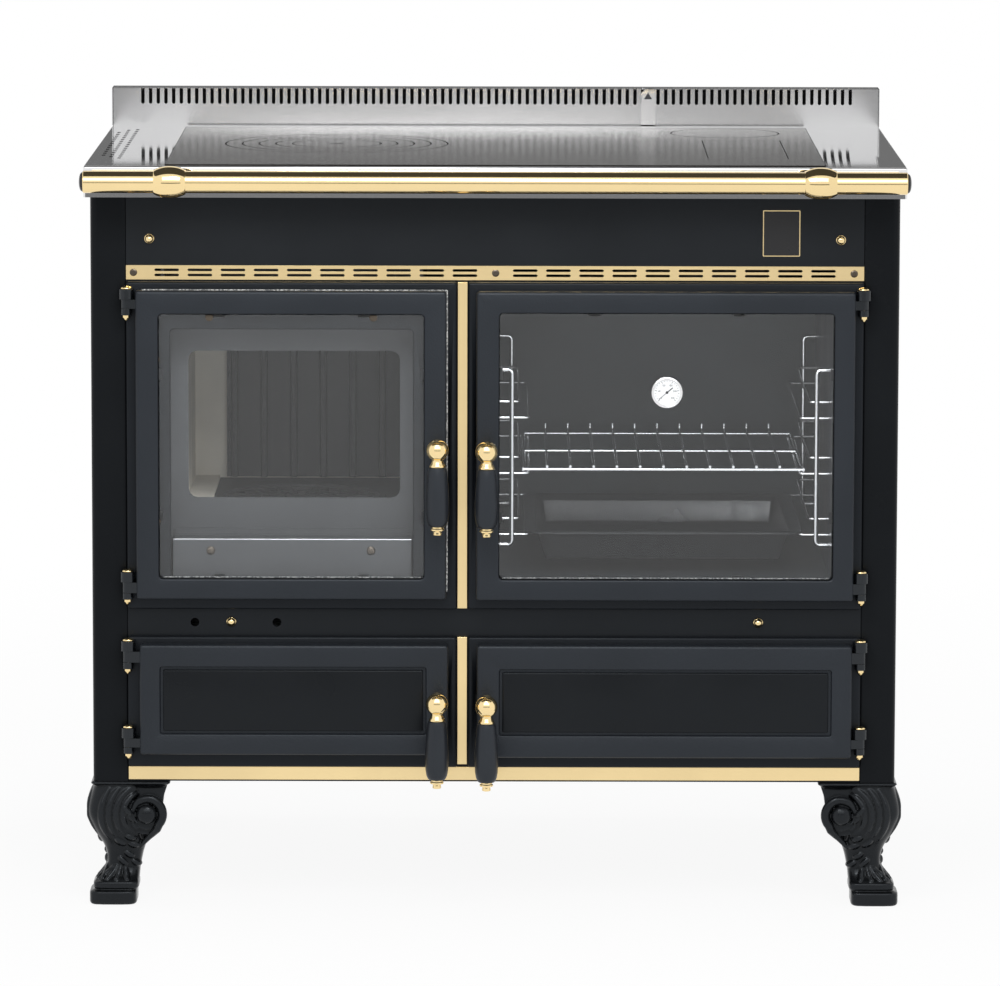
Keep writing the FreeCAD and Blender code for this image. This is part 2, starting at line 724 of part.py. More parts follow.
def hinge_pins():
    """Brass pin of each hinge: a domed head above, a cone-ended tail below."""
    pins = []
    for opening in (FIRE, OVEN, ASH, STORE):
        axis_x = opening["side"] * HINGE_X
        for low, high in opening["lugs"]:
            top = high + GAP + KNUCKLE_UPPER[1]
            foot_z = low - GAP - KNUCKLE_LOWER[1]
            profile = [
                (3.2, foot_z - 6.5), (4.4, foot_z), (PIN_RADIUS, foot_z),
                (PIN_RADIUS, top), (7, top), (5.0, top + 3.4),
            ]
            pins.append(turned(profile, HINGE_SIDES, V(axis_x, HINGE_Y, 0)))
    return Part.makeCompound(pins)


def lugs(opening, door_edge):
    """The two lugs of a door, each bored for its pin."""
    side = opening["side"]
    axis_x = side * HINGE_X
    pieces = []
    bores = []
    for low, high in opening["lugs"]:
        reach = abs(axis_x - door_edge) + 6
        pieces.append(ear(LUG_RADIUS, reach, V(axis_x, HINGE_Y, low), high - low, V(-side, 0, 0)))
        bores.append(bore(PIN_RADIUS, HINGE_SIDES, high - low + 2, V(axis_x, HINGE_Y, low - 1),
                          Z_AXIS))
    return pieces, bores


def handle_bore(opening):
    x, z = opening["handle"]
    return bore(SPINDLE_RADIUS, HANDLE_SIDES, DOOR_THICK + 4, V(x, DOOR_FRONT - 2, z), Y_AXIS)


def glazed_door(opening):
    """Cast door frame: bevelled window, glass rebate and rope groove behind, hinge lugs."""
    door = bevelled_plate(opening["door"], DOOR_FRONT, DOOR_REAR, 3.0)
    window = opening["window"]
    outer_edge = opening["door"][0] if opening["side"] < 0 else opening["door"][1]
    arms, bores = lugs(opening, outer_edge)
    groove = slab(inset(window, -10.8), DOOR_REAR - 5.7, DOOR_REAR + 1)
    groove = groove.cut(slab(inset(window, -5.2), DOOR_REAR - 7, DOOR_REAR + 1))
    tools = bores + [
        handle_bore(opening),
        bevelled_hole(window, DOOR_FRONT - 0.01, DOOR_REAR + 1, 2.0),
        slab(inset(window, -4.2), DOOR_REAR - 8.7, DOOR_REAR + 1),
        groove,
    ]
    return cut(fused([door] + arms), tools)


def door_glass(opening, hole=None):
    rear = DOOR_REAR - 4.7
    glass = slab(inset(opening["window"], -4.0), rear - 4.0, rear)
    if hole:
        radius = THERMOMETER_RADIUS - 2.5
        hole_form = turned([(radius, 0), (radius, 8)], THERMOMETER_SIDES,
                           V(hole[0], rear - 6, hole[1]), Y_AXIS)
        glass = glass.cut(hole_form)
    return glass


def door_seal(opening):
    """Rope seal laid in the groove round the back of a glazed door."""
    ring = slab(inset(opening["window"], -10.8), DOOR_REAR - 5.7, DOOR_REAR)
    return ring.cut(slab(inset(opening["window"], -5.2), DOOR_REAR - 7, DOOR_REAR + 1))


def glass_clips(opening):
    """Small steel clips that hold the glass in its rebate, with their screws' heads."""
    x0, x1, z0, z1 = opening["window"]
    middle_x, middle_z = (x0 + x1) / 2, (z0 + z1) / 2
    y0, y1 = DOOR_REAR - 4.7, DOOR_REAR - 3.2
    clips = []
    for x in (middle_x - 88, middle_x + 88):
        clips.append(box(x - 7, x + 7, y0, y1, z1 - 4, z1 + 4))
        clips.append(box(x - 7, x + 7, y0, y1, z0 - 4, z0 + 4))
    for z in (middle_z - 88, middle_z + 88):
        clips.append(box(x0 - 4, x0 + 4, y0, y1, z - 7, z + 7))
        clips.append(box(x1 - 4, x1 + 4, y0, y1, z - 7, z + 7))
    return Part.makeCompound(clips)


def panel_door(opening):
    """Cast door with a sunk field and a raised flat panel in it, hollow behind."""
    door = bevelled_plate(opening["door"], DOOR_FRONT, DOOR_REAR, 3.0)
    outer_edge = opening["door"][0] if opening["side"] < 0 else opening["door"][1]
    arms, bores = lugs(opening, outer_edge)
    field = opening["panel"]
    sunk = bevelled_hole(field, DOOR_FRONT - 0.01, DOOR_FRONT + 5, 1.0)
    sunk = sunk.cut(slab(inset(field, 4.0), DOOR_FRONT + 1.2, DOOR_FRONT + 6))
    hollow = slab(inset(field, 2.0), DOOR_REAR - 7, DOOR_REAR + 1)
    return cut(fused([door] + arms), bores + [handle_bore(opening), sunk, hollow])


def thermometer():
    """Round dial whose bezel clamps the glass, with its probe behind."""
    x, z = THERMOMETER
    front = DOOR_REAR - 8.7
    r = THERMOMETER_RADIUS
    profile = [
        (r - 1.5, -5), (r, -3.4), (r, 0), (r - 2.8, 0), (r - 2.8, 7), (3, 7), (3, 34),
    ]
    return turned(profile, THERMOMETER_SIDES, V(x, front, z), Y_AXIS)


# ---------------------------------------------------------------- handles

def handle(opening):
    """Brass ball with its collar, stem and ferrule, and the spindle with the latch's tongue."""
    x, z = opening["handle"]
    centre = V(x, DOOR_FRONT - HANDLE_STANDOFF, z)
    end = GRIP_TOP + GRIP_LENGTH
    steps = 4
    profile = []
    for i in range(steps + 1):
        turn = math.radians(-75 + 130 * i / steps)
        profile.append((BALL_RADIUS * math.cos(turn), BALL_RADIUS * math.sin(turn)))
    profile += [
        (6.0, 13.5), (8.5, 16.5), (8.5, GRIP_TOP), (STEM_RADIUS, GRIP_TOP), (STEM_RADIUS, end),
        (8.0, end), (5.0, end + 6), (5.5, end + FERRULE_LENGTH),
    ]
    knob = turned(profile, HANDLE_SIDES, centre, V(0, 0, -1))
    at_door = HANDLE_STANDOFF - GAP
    reach = HANDLE_STANDOFF + DOOR_THICK + 6
    spindle = turned([
        (5.0, 8), (5.0, at_door - 5), (8.5, at_door - 2.5), (8.5, at_door),
        (SPINDLE_RADIUS, at_door), (SPINDLE_RADIUS, reach),
    ], HANDLE_SIDES, centre, Y_AXIS)
    back = centre.y + reach
    tongue = sorted((x, x - opening["side"] * 12))
    latch = box(*tongue, back - 5, back, z - 3, z + 3)
    return fused([knob, spindle, latch])


def grip(opening):
    """Swelling black grip, thickest past its middle, on the handle's stem."""
    x, z = opening["handle"]
    centre = V(x, DOOR_FRONT - HANDLE_STANDOFF, z)
    low, end = GRIP_TOP, GRIP_TOP + GRIP_LENGTH
    shape = [(9.5, 0.0), (11.8, 0.22), (14.0, 0.5), (14.6, 0.7), (13.0, 0.88), (9.5, 1.0)]
    profile = [(r, low + GRIP_LENGTH * part) for r, part in shape]
    profile += [(STEM_RADIUS, end), (STEM_RADIUS, low)]
    return turned(profile, HANDLE_SIDES, centre, V(0, 0, -1), closed=True)


# ---------------------------------------------------------------- firebox

def firebox_shell():
    """Welded chamber, open in front and at the top: fire above the grate, ashes below it."""
    x0, x1, y0, y1, z0, z1 = FIREBOX
    t = FIREBOX_WALL
    rear_of_plate = FRONT_PLATE_Y + FRONT_PLATE_SHEET
    outer = box(x0 - t, x1 + t, y0, y1 + t, z0 - t, z1)
    upper = box(x0, x1, y0 - 1, y1, GRATE_LEVEL, z1 + 1)
    lower = box(x0, x1, y0 - 1, y1, z0, GRATE_LEVEL - t)
    porch = box(x0, x1, y0 - 1, rear_of_plate, GRATE_LEVEL - 2 * t, GRATE_LEVEL + t)
    ash_fall = box(*ASH_FALL_X, *ASH_FALL_Y, GRATE_LEVEL - 2 * t, GRATE_LEVEL + t)
    gas_port = box(x1 - t, x1 + 2 * t, *GAS_PORT_Y, *GAS_PORT_Z)
    return cut(outer, [upper, lower, porch, ash_fall, gas_port])


def firebox_front_plate():
    """Steel plate with the stoking opening, and the ember guard that stands in front of it."""
    x0, x1 = FIREBOX[0], FIREBOX[1]
    t = FRONT_PLATE_SHEET
    low, ledge_top, upstand_top = GUARD_LEVELS
    plate = box(x0, x1, FRONT_PLATE_Y, FRONT_PLATE_Y + t, ledge_top - t, FIREBOX[5])
    opening = rounded_hole(FIRE_OPENING, FIRE_OPENING_CORNER, FRONT_PLATE_Y - 1, t + 2)
    guard_x = (FIRE["throat"][0] + 2, FIRE["throat"][1] - 2)
    face_y = BODY_FRONT + 1
    front = box(*guard_x, face_y, face_y + t, low, ledge_top)
    ledge = box(*guard_x, face_y + t, FRONT_PLATE_Y, ledge_top - t, ledge_top)
    rear = box(*guard_x, FRONT_PLATE_Y - t, FRONT_PLATE_Y, ledge_top, upstand_top)
    return Part.makeCompound([plate.cut(opening), fused([front, ledge, rear])])


def firebox_back_plate():
    """Cast plate behind the fire, ribbed from top to bottom."""
    x1 = FIREBOX[1] - BRICK
    z0, z1 = GRATE_LEVEL + GRATE_RIM, BRICK_TOP
    plate = box(BACK_PLATE_LEFT, x1, BACK_PLATE_Y - 12, BACK_PLATE_Y, z0, z1)
    ribs = []
    for number in range(6):
        x = BACK_PLATE_LEFT + 10 + RIB_PITCH * number
        top, bottom = BACK_PLATE_Y - 18, BACK_PLATE_Y - 12
        section = polygon_face([V(x - 5, bottom, z0), V(x - 3, top, z0), V(x + 3, top, z0),
                                V(x + 5, bottom, z0)])
        ribs.append(section.extrude(V(0, 0, z1 - z0)))
    return fused([plate] + ribs)


def firebricks():
    """Lining of the two sides and the back, and the strip of floor beside the grate."""
    x0, x1, y1 = FIREBOX[0], FIREBOX[1], FIREBOX[3]
    front = FRONT_PLATE_Y + FRONT_PLATE_SHEET
    z0, z1 = GRATE_LEVEL, BRICK_TOP
    port = box(x1 - BRICK - 1, x1 + 1, *GAS_PORT_Y, GAS_PORT_Z[0], z1 + 1)
    bricks = [
        box(x0, x0 + BRICK, front, BACK_PLATE_Y, z0, z1),
        box(x1 - BRICK, x1, front, BACK_PLATE_Y, z0, z1).cut(port),
        box(x0, x1, BACK_PLATE_Y, y1, z0, z1),
        box(x0 + BRICK, GRATE_LEFT, front, BACK_PLATE_Y, z0, z0 + GRATE_RIM),
    ]
    return Part.makeCompound(bricks)


def fire_grate():
    """Cast floor plate with a raised rim round a spoked grate."""
    x0, x1 = GRATE_LEFT, FIREBOX[1] - BRICK
    y0, y1 = FRONT_PLATE_Y + FRONT_PLATE_SHEET, BACK_PLATE_Y
    z0 = GRATE_LEVEL
    centre = V(*GRATE_CENTRE, z0)
    plate = box(x0, x1, y0, y1, z0, z0 + GRATE_PLATE)
    rim_section = [(108, 0), (108, GRATE_RIM), (98, GRATE_RIM), (98, 0)]
    rim = turned(rim_section, 16, centre, Z_AXIS, closed=True)
    wells = []
    spokes = 6
    for number in range(spokes):
        middle = 2 * math.pi * number / spokes
        for inner, outer, width in ((24, 54, 0.62), (62, 94, 0.74)):
            half = width * math.pi / spokes
            corners = []
            for radius, turn in ((inner, -half), (outer, -half), (outer, half), (inner, half)):
                corners.append(V(centre.x + radius * math.cos(middle + turn),
                                 centre.y + radius * math.sin(middle + turn), z0 - 1))
            wells.append(polygon_face(corners).extrude(V(0, 0, 20)))
    return cut(fused([plate, rim]), wells)


def ash_pan():
    """Open sheet pan with a drawn-down front and a bail handle."""
    pan = tray_form(PAN_X, PAN_Y, PAN_Z, STEEL_SHEET)
    middle = sum(PAN_X) / 2
    left, right = middle - BAIL_HALF, middle + BAIL_HALF
    face, out = PAN_Y[0], PAN_Y[0] - BAIL_REACH
    bail = wire([(left, face, BAIL_Z), (left, out, BAIL_Z), (right, out, BAIL_Z),
                 (right, face, BAIL_Z)], 3.0)
    return pan.fuse(bail)


# ---------------------------------------------------------------- oven and store

def liner(spans, sheet):
    """Sheet box, open in front, round the given inner spans."""
    x0, x1, y0, y1, z0, z1 = spans
    outer = box(x0 - sheet, x1 + sheet, y0, y1 + sheet, z0 - sheet, z1 + sheet)
    return outer.cut(box(x0, x1, y0 - 1, y1, z0, z1))


def side_racks():
    """Wire racks on both oven walls: two uprights each, and pairs of wires for every level."""
    wires = []
    front, rear = RACK_Y
    low, high = RACK_HEIGHTS
    beside = RUNG_HALF + RACK_UPRIGHT
    for wall, inward in ((OVEN_BOX[0], 1), (OVEN_BOX[1], -1)):
        stem = wall + inward * RACK_STEM
        for y in (front - beside, rear + beside):
            path = [(wall, y, high), (stem, y, high), (stem, y, low), (wall, y, low)]
            wires.append(wire(path, RACK_UPRIGHT * math.sqrt(2), 4))
        for level in RUNG_LEVELS:
            for z, reach in zip((level - RUNG_SPREAD, level + RUNG_SPREAD), RUNG_REACH):
                inner = wall + inward * reach
                path = [(wall, front, z), (inner, front, z), (inner, rear, z), (wall, rear, z)]
                wires.append(wire(path, RUNG_HALF * math.sqrt(2), 4))
    return Part.makeCompound(wires)


def rung_top(level):
    """The height of what rests on a pair of rungs."""
    return level - RUNG_SPREAD + RUNG_HALF + GAP


def oven_shelf():
    """Wire shelf: frame, bars laid over its cross wires, their rear ends turned up as a stop."""
    x0, x1 = SHELF_X
    y0, y1 = SHELF_Y
    thick = SHELF_FRAME_WIRE
    rise = thick * math.cos(math.pi / 6)
    z = rung_top(RUNG_LEVELS[1]) + rise
    inner = (x0 + thick, x1 - thick)
    frame = [wire([(x, y0, z), (x, y1, z)], thick) for x in SHELF_X]
    for y in (y0, (y0 + y1) / 2, y1 - thick):
        frame.append(wire([(inner[0], y, z), (inner[1], y, z)], thick))
    half_bar = SHELF_BAR_WIRE * math.sqrt(0.5)
    over = z + rise + half_bar
    front, rear = y0 - thick - half_bar, y1 - thick
    pitch = (x1 - x0) / (SHELF_BARS + 1)
    for number in range(SHELF_BARS):
        x = x0 + pitch * (number + 1)
        path = [(x, front, over), (x, rear, over), (x, rear, z + SHELF_STOP)]
        frame.append(wire(path, SHELF_BAR_WIRE, 4))
    return Part.makeCompound(frame)


def baking_tray():
    """Pressed tray: wide flat rim, sloping sides and a flat bottom."""
    x0, x1 = TRAY_RIM_X
    y0, y1 = TRAY_Y
    sheet = 1.2
    top = rung_top(RUNG_LEVELS[0]) + sheet

    def ring(shrink, z):
        a, b, c, d = x0 + shrink, x1 - shrink, y0 + shrink, y1 - shrink
        return [V(a, c, z), V(b, c, z), V(b, d, z), V(a, d, z)]

    rim = 16.0
    slope = 14.0
    low = top - TRAY_DEPTH
    outside = skinned([ring(rim + slope - 1, low), ring(rim - 1, top - sheet), ring(rim - 1, top)])
    inside = skinned([ring(rim + slope, low + sheet), ring(rim, top + 0.01)])
    flat_rim = skinned([ring(0, top - sheet), ring(0, top)])
    return cut(fused([outside, flat_rim]), [inside])


def flue_box():
    """Smoke box under the flue lid, with the round spigot that leaves through the back."""
    x0, x1 = FLUE_CENTRE_X - FLUE_BOX_HALF, FLUE_CENTRE_X + FLUE_BOX_HALF
    y0, y1 = FLUE_BOX_FRONT, BODY_REAR - CASING_SHEET
    z0, z1 = FLUE_BOX_FLOOR, UNDER_LEDGE
    t = FLUE_BOX_WALL
    shell = box(x0, x1, y0, y1, z0, z1)
    hollow = box(x0 + t, x1 - t, y0 + t, y1 - t, z0 + t, z1 + 1)
    inlet = box(x0 + FLUE_INLET_SIDE, x1 - FLUE_INLET_SIDE, y0 - 1, y0 + t + 1,
                z0 + FLUE_INLET_RISE, z1 - FLUE_INLET_SIDE)
    base = V(FLUE_CENTRE_X, y1 - t, FLUE_SPIGOT_Z)
    spigot = cylinder(FLUE_SPIGOT_RADIUS, FLUE_SPIGOT_END - y1 + t, base, Y_AXIS)
    inside = FLUE_SPIGOT_RADIUS - FLUE_SPIGOT_WALL
    duct = turned([(inside, -2), (inside, FLUE_SPIGOT_END)], 20, base, Y_AXIS)
    return cut(fused([shell.cut(hollow), spigot]), [duct, inlet])


def front_fasteners():
    """Acorn nuts on the fascia and the mid rail."""
    acorn = [(6.2, 0), (6.2, 3), (5.2, 5.5), (3.0, 7.5)]
    nuts = [turned(acorn, 8, V(x, BODY_FRONT, z), V(0, -1, 0)) for x, z in ACORN_NUTS]
    return Part.makeCompound(nuts)


# ---------------------------------------------------------------- all pieces

def pieces():
    """Every node of the range, by name."""
    nodes = {
        "base_pan": base_pan(),
        "left_side_panel": side_panel(-1),
        "right_side_panel": side_panel(1),
        "rear_panel": rear_panel(),
        "top_fascia": top_fascia(),
        "front_frame": front_frame(),
        "vent_strip": vent_strip(),
        "brass_trim_strips": brass_trim_strips(),
        "feet": feet(),
        "worktop": worktop(),
        "hotplate": hotplate(),
        "hob_centre_lid": hob_centre_lid(),
        "flue_lid": flue_lid(),
        "soot_hatch": soot_hatch(),
        "splashback": splashback(),
        "damper_lever": damper_lever(),
        "towel_rail": towel_rail(),
        "rail_brackets": rail_brackets(),
        "rail_end_caps": rail_end_caps(),
        "hinge_pins": hinge_pins(),
        "front_fasteners": front_fasteners(),
        "firebox_shell": firebox_shell(),
        "firebox_front_plate": firebox_front_plate(),
        "firebox_back_plate": firebox_back_plate(),
        "firebricks": firebricks(),
        "fire_grate": fire_grate(),
        "ash_pan": ash_pan(),
        "oven_liner": liner(OVEN_BOX, LINER_SHEET),
        "storage_liner": liner(STORE_BOX, LINER_SHEET),
        "side_racks": side_racks(),
        "oven_shelf": oven_shelf(),
        "baking_tray": baking_tray(),
        "flue_box": flue_box(),
        "oven_thermometer": thermometer(),
    }
    for number in range(1, len(RING_RADII)):
        nodes[f"hob_ring_{number}"] = hob_ring(number)
    for name, opening in (("fire", FIRE), ("oven", OVEN), ("ash", ASH), ("store", STORE)):
        nodes[f"{name}_door_surround"] = surround(opening)
        nodes[f"{name}_handle"] = handle(opening)
        nodes[f"{name}_handle_grip"] = grip(opening)
    for name, opening in (("ash", ASH), ("store", STORE)):
        nodes[f"{name}_door"] = panel_door(opening)
    for name, opening, hole in (("fire", FIRE, None), ("oven", OVEN, THERMOMETER)):
        nodes[f"{name}_door"] = glazed_door(opening)
        nodes[f"{name}_door_glass"] = door_glass(opening, hole)
        nodes[f"{name}_door_seal"] = door_seal(opening)
        nodes[f"{name}_door_clips"] = glass_clips(opening)
    return nodes


os.makedirs("parts", exist_ok=True)
for node, shape in pieces().items():
    shape.exportStep(f"parts/{node}.step")
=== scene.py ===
"""Dresses the range cooker: rounded castings, brass, wires, carved feet, finishes, stage and camera."""

import math

import bmesh
import bpy
from bpy.props import FloatProperty, FloatVectorProperty, PointerProperty
from mathutils import Matrix, Quaternion, Vector
from mathutils.geometry import tessellate_polygon


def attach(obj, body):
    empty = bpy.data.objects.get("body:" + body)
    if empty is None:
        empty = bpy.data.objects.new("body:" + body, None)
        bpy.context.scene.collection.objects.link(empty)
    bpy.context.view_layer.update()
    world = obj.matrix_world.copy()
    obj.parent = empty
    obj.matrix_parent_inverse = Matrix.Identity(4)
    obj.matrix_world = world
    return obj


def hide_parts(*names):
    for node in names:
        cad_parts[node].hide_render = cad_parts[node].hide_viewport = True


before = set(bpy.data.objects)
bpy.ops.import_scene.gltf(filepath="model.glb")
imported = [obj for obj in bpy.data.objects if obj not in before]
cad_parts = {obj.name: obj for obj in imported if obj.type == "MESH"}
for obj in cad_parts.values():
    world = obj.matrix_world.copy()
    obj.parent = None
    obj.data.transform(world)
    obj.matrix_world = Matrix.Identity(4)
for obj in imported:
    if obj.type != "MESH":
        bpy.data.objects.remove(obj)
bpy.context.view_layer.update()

bl_info = {
    "name": "Range cooker",
    "version": (1, 0, 0),
    "blender": (4, 5, 0),
    "location": "View3D > Sidebar > Range",
    "description": "Builds the visible pieces of a wood-fired range cooker on its packed frame",
    "category": "Object",
}

MM = 0.001

# Planes of the front, in millimetres
BODY_SIDE = 494.0
BODY_FRONT = -290.0
BODY_REAR = 320.0
BODY_FLOOR = 154.5
POST_EDGE = 450.0
SURROUND_FRONT = -300.0
DOOR_REAR = -300.3
DOOR_FRONT = -318.0
HINGE_X = 449.0
HINGE_Y = -309.0
HANDLE_Y = -353.0
GLASS_FRONT = DOOR_REAR - 8.7
WORKTOP_TOP = 917.0
PLATE_TOP = 918.0
STEEL = 1.5
BRASS_FRONT = BODY_FRONT - 1.5
VENT_LEVEL = 784.75

# Each front opening: the side it is hung on, its outlines as (left, right, low, high), its handle's
# place as (across, up), and the levels of its lugs as (low, high)
FRONTS = {
    "fire": {
        "side": -1,
        "surround": (-450.0, -46.3, 370.6, 774.0),
        "throat": (-396.0, -100.0, 404.0, 716.0),
        "door": (-438.0, -59.0, 385.0, 765.0),
        "window": (-410.0, -86.4, 411.0, 736.0),
        "handle": (-69.6, 574.7),
        "lugs": ((742.6, 753.6), (392.6, 405.6)),
    },
    "oven": {
        "side": 1,
        "surround": (-32.5, 450.0, 371.0, 774.0),
        "throat": (4.0, 413.0, 404.0, 742.0),
        "door": (-22.4, 439.2, 384.0, 764.6),
        "window": (5.6, 413.4, 410.6, 738.0),
        "handle": (-9.6, 572.5),
        "lugs": ((742.6, 753.6), (392.6, 405.6)),
    },
    "ash": {
        "side": -1,
        "surround": (-450.0, -46.5, 174.5, 336.5),
        "throat": (-404.0, -92.0, 205.0, 312.0),
        "door": (-434.8, -56.5, 192.0, 329.0),
        "panel": (-409.7, -83.5, 218.0, 301.6),
        "handle": (-69.9, 262.0),
        "lugs": ((306.5, 320.0), (201.0, 212.0)),
    },
    "store": {
        "side": 1,
        "surround": (-32.3, 450.0, 174.5, 336.5),
        "throat": (6.0, 413.0, 208.0, 312.0),
        "door": (-21.4, 438.6, 189.0, 329.0),
        "panel": (6.2, 413.4, 217.0, 299.0),
        "handle": (-9.3, 259.0),
        "lugs": ((306.5, 320.0), (201.0, 212.0)),
    },
}

AXES = {
    "X": Vector((1, 0, 0)), "-X": Vector((-1, 0, 0)),
    "Y": Vector((0, 1, 0)), "-Y": Vector((0, -1, 0)),
    "Z": Vector((0, 0, 1)), "-Z": Vector((0, 0, -1)),
}


# ---------------------------------------------------------------- outlines

def arc(centre, radius, start, end, steps):
    """Points of a flat arc, its angles in degrees."""
    points = []
    for i in range(steps + 1):
        turn = math.radians(start + (end - start) * i / steps)
        points.append((centre[0] + radius * math.cos(turn), centre[1] + radius * math.sin(turn)))
    return points


def rounded(outline, corner, grow=0.0, steps=5):
    """A rectangle with rounded corners, grown outwards by grow."""
    x0, x1, y0, y1 = outline
    x0, x1, y0, y1 = x0 - grow, x1 + grow, y0 - grow, y1 + grow
    r = max(corner + grow, 0.4)
    points = []
    for x, y, start in ((x1 - r, y1 - r, 0), (x0 + r, y1 - r, 90), (x0 + r, y0 + r, 180),
                        (x1 - r, y0 + r, 270)):
        points += arc((x, y), r, start, start + 90, steps)
    return points


def slot_hole(x, low, high, width, steps=6):
    """An upright slot with round ends."""
    r = width / 2
    return arc((x, high - r), r, 0, 180, steps) + arc((x, low + r), r, 180, 360, steps)


def level_slot(left, right, z, width, steps=5):
    """A level slot with round ends."""
    r = width / 2
    return arc((right - r, z), r, -90, 90, steps) + arc((left + r, z), r, 90, 270, steps)


def dome(radius, base, rise, steps=8):
    """Profile of a turned crown, from its edge up to its middle."""
    turns = [math.pi / 2 * i / steps for i in range(steps + 1)]
    return [(radius * math.cos(turn), base + rise * math.sin(turn)) for turn in turns]


def eased(stations, steps):
    """Stations of (height, value, value) with smooth in-between stations."""
    made = []
    for k in range(len(stations) - 1):
        before = stations[max(k - 1, 0)]
        a, b = stations[k], stations[k + 1]
        after = stations[min(k + 2, len(stations) - 1)]
        for i in range(steps):
            t = i / steps
            row = []
            for p, q, r, s in zip(before, a, b, after):
                row.append(0.5 * (2 * q + (r - p) * t + (2 * p - 5 * q + 4 * r - s) * t * t
                                  + (3 * q - p - 3 * r + s) * t ** 3))
            made.append(tuple(row))
    made.append(stations[-1])
    return made


# ---------------------------------------------------------------- forms

class Form:
    """The faces of one piece, gathered in millimetres."""

    def __init__(self):
        self.bm = bmesh.new()

    def skin(self, rings, closed=False, caps=True):
        """Quads between rings of as many points each."""
        loops = [[self.bm.verts.new(point) for point in ring] for ring in rings]
        following = loops[1:] + (loops[:1] if closed else [])
        for low, high in zip(loops, following):
            for i in range(len(low)):
                j = (i + 1) % len(low)
                self.bm.faces.new((low[i], low[j], high[j], high[i]))
        if caps and not closed:
            self.bm.faces.new(loops[0])
            self.bm.faces.new(loops[-1])

    def lathe(self, profile, centre=(0, 0, 0), axis="Z", steps=40, closed=False):
        """A turned form through (radius, distance along the axis) pairs."""
        turn = AXES["Z"].rotation_difference(AXES[axis])
        if axis == "-Z":
            turn = Quaternion()
            profile = [(radius, -along) for radius, along in profile]
        rings = []
        for radius, along in profile:
            ring = []
            for i in range(steps):
                angle = 2 * math.pi * i / steps
                point = Vector((radius * math.cos(angle), radius * math.sin(angle), along))
                ring.append(Vector(centre) + turn @ point)
            rings.append(ring)
        self.skin(rings, closed)

    def plate(self, outlines, low, high, axis="Y"):
        """A plate between two levels of an axis; its first outline is its edge, the rest are holes."""
        def put(u, v, level):
            return (u, level, v) if axis == "Y" else (u, v, level)

        loops = []
        for outline in outlines:
            loops.append([(self.bm.verts.new(put(u, v, low)), self.bm.verts.new(put(u, v, high)))
                          for u, v in outline])
        pairs = [pair for loop in loops for pair in loop]
        flat = [[Vector((u, v, 0)) for u, v in outline] for outline in outlines]
        for triangle in tessellate_polygon(flat):
            for level in (0, 1):
                self.bm.faces.new([pairs[i][level] for i in triangle])
        for loop in loops:
            for (a, b), (c, d) in zip(loop, loop[1:] + loop[:1]):
                self.bm.faces.new((a, c, d, b))

    def cover(self, upper, lower, holes, high, low):
        """A level sheet: its two skins have outlines of their own and share the holes between them."""
        for outlines, level in ((upper + holes, high), (lower + holes, low)):
            corners = [self.bm.verts.new((u, v, level)) for outline in outlines for u, v in outline]
            for triangle in tessellate_polygon([[Vector((u, v, 0)) for u, v in outline]
                                                for outline in outlines]):
                self.bm.faces.new([corners[i] for i in triangle])
        for hole in holes:
            self.skin([[(u, v, level) for u, v in hole] for level in (high, low)], caps=False)

    def block(self, x0, x1, y0, y1, z0, z1):
        """A square-edged bar."""
        self.skin([[(x0, y0, z), (x1, y0, z), (x1, y1, z), (x0, y1, z)] for z in (z0, z1)])

    def tube(self, path, radii, sides=10):
        """A round form along a path, its radius given at every point or once for all."""
        points = [Vector(point) for point in path]
        if not isinstance(radii, (list, tuple)):
            radii = [radii] * len(points)
        across = None
        rings = []
        for k, point in enumerate(points):
            along = (points[min(k + 1, len(points) - 1)] - points[max(k - 1, 0)]).normalized()
            if across is None:
                across = along.orthogonal().normalized()
            across = (across - along * across.dot(along)).normalized()
            other = along.cross(across)
            ring = []
            for i in range(sides):
                angle = 2 * math.pi * i / sides
                ring.append(point + (across * math.cos(angle) + other * math.sin(angle)) * radii[k])
            rings.append(ring)
        self.skin(rings)

    def ball(self, centre, radii, steps=16):
        """An ellipsoid."""
        rings = []
        for k in range(1, steps):
            lift = math.pi * k / steps
            ring = []
            for i in range(2 * steps):
                turn = math.pi * i / steps
                ring.append((centre[0] + radii[0] * math.sin(lift) * math.cos(turn),
                             centre[1] + radii[1] * math.sin(lift) * math.sin(turn),
                             centre[2] + radii[2] * math.cos(lift)))
            rings.append(ring)
        self.skin(rings)

    def mesh(self, name, crease=35.0):
        """The finished mesh, in metres, smooth except over edges sharper than crease."""
        bmesh.ops.remove_doubles(self.bm, verts=self.bm.verts, dist=0.0005)
        bmesh.ops.recalc_face_normals(self.bm, faces=self.bm.faces)
        bmesh.ops.scale(self.bm, verts=self.bm.verts, vec=(MM, MM, MM))
        mesh = bpy.data.meshes.new(name)
        self.bm.to_mesh(mesh)
        self.bm.free()
        mesh.shade_smooth()
        mesh.set_sharp_from_angle(angle=math.radians(crease))
        return mesh


def settle(made, finish, body, nodes=()):
    """Puts a piece in the scene with its finish: it rides on a body and stands for the nodes."""
    bpy.context.scene.collection.objects.link(made)
    made.data.materials.append(FINISHES[finish])
    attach(made, body)
    if nodes:
        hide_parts(*nodes)


def piece(name, form, finish, body, slot, *nodes, bevel=0.0, segments=2, crease=35.0):
    """One visible piece: it rides on a body and stands for the nodes named."""
    mesh = form.mesh(name, crease) if isinstance(form, Form) else form
    made = bpy.data.objects.new(name, mesh)
    settle(made, finish, body, nodes)
    if bevel:
        edge = made.modifiers.new("edge", "BEVEL")
        edge.width = bevel * MM
        edge.segments = segments
        edge.limit_method = "ANGLE"
        edge.angle_limit = math.radians(40)
        edge.harden_normals = True
    return made


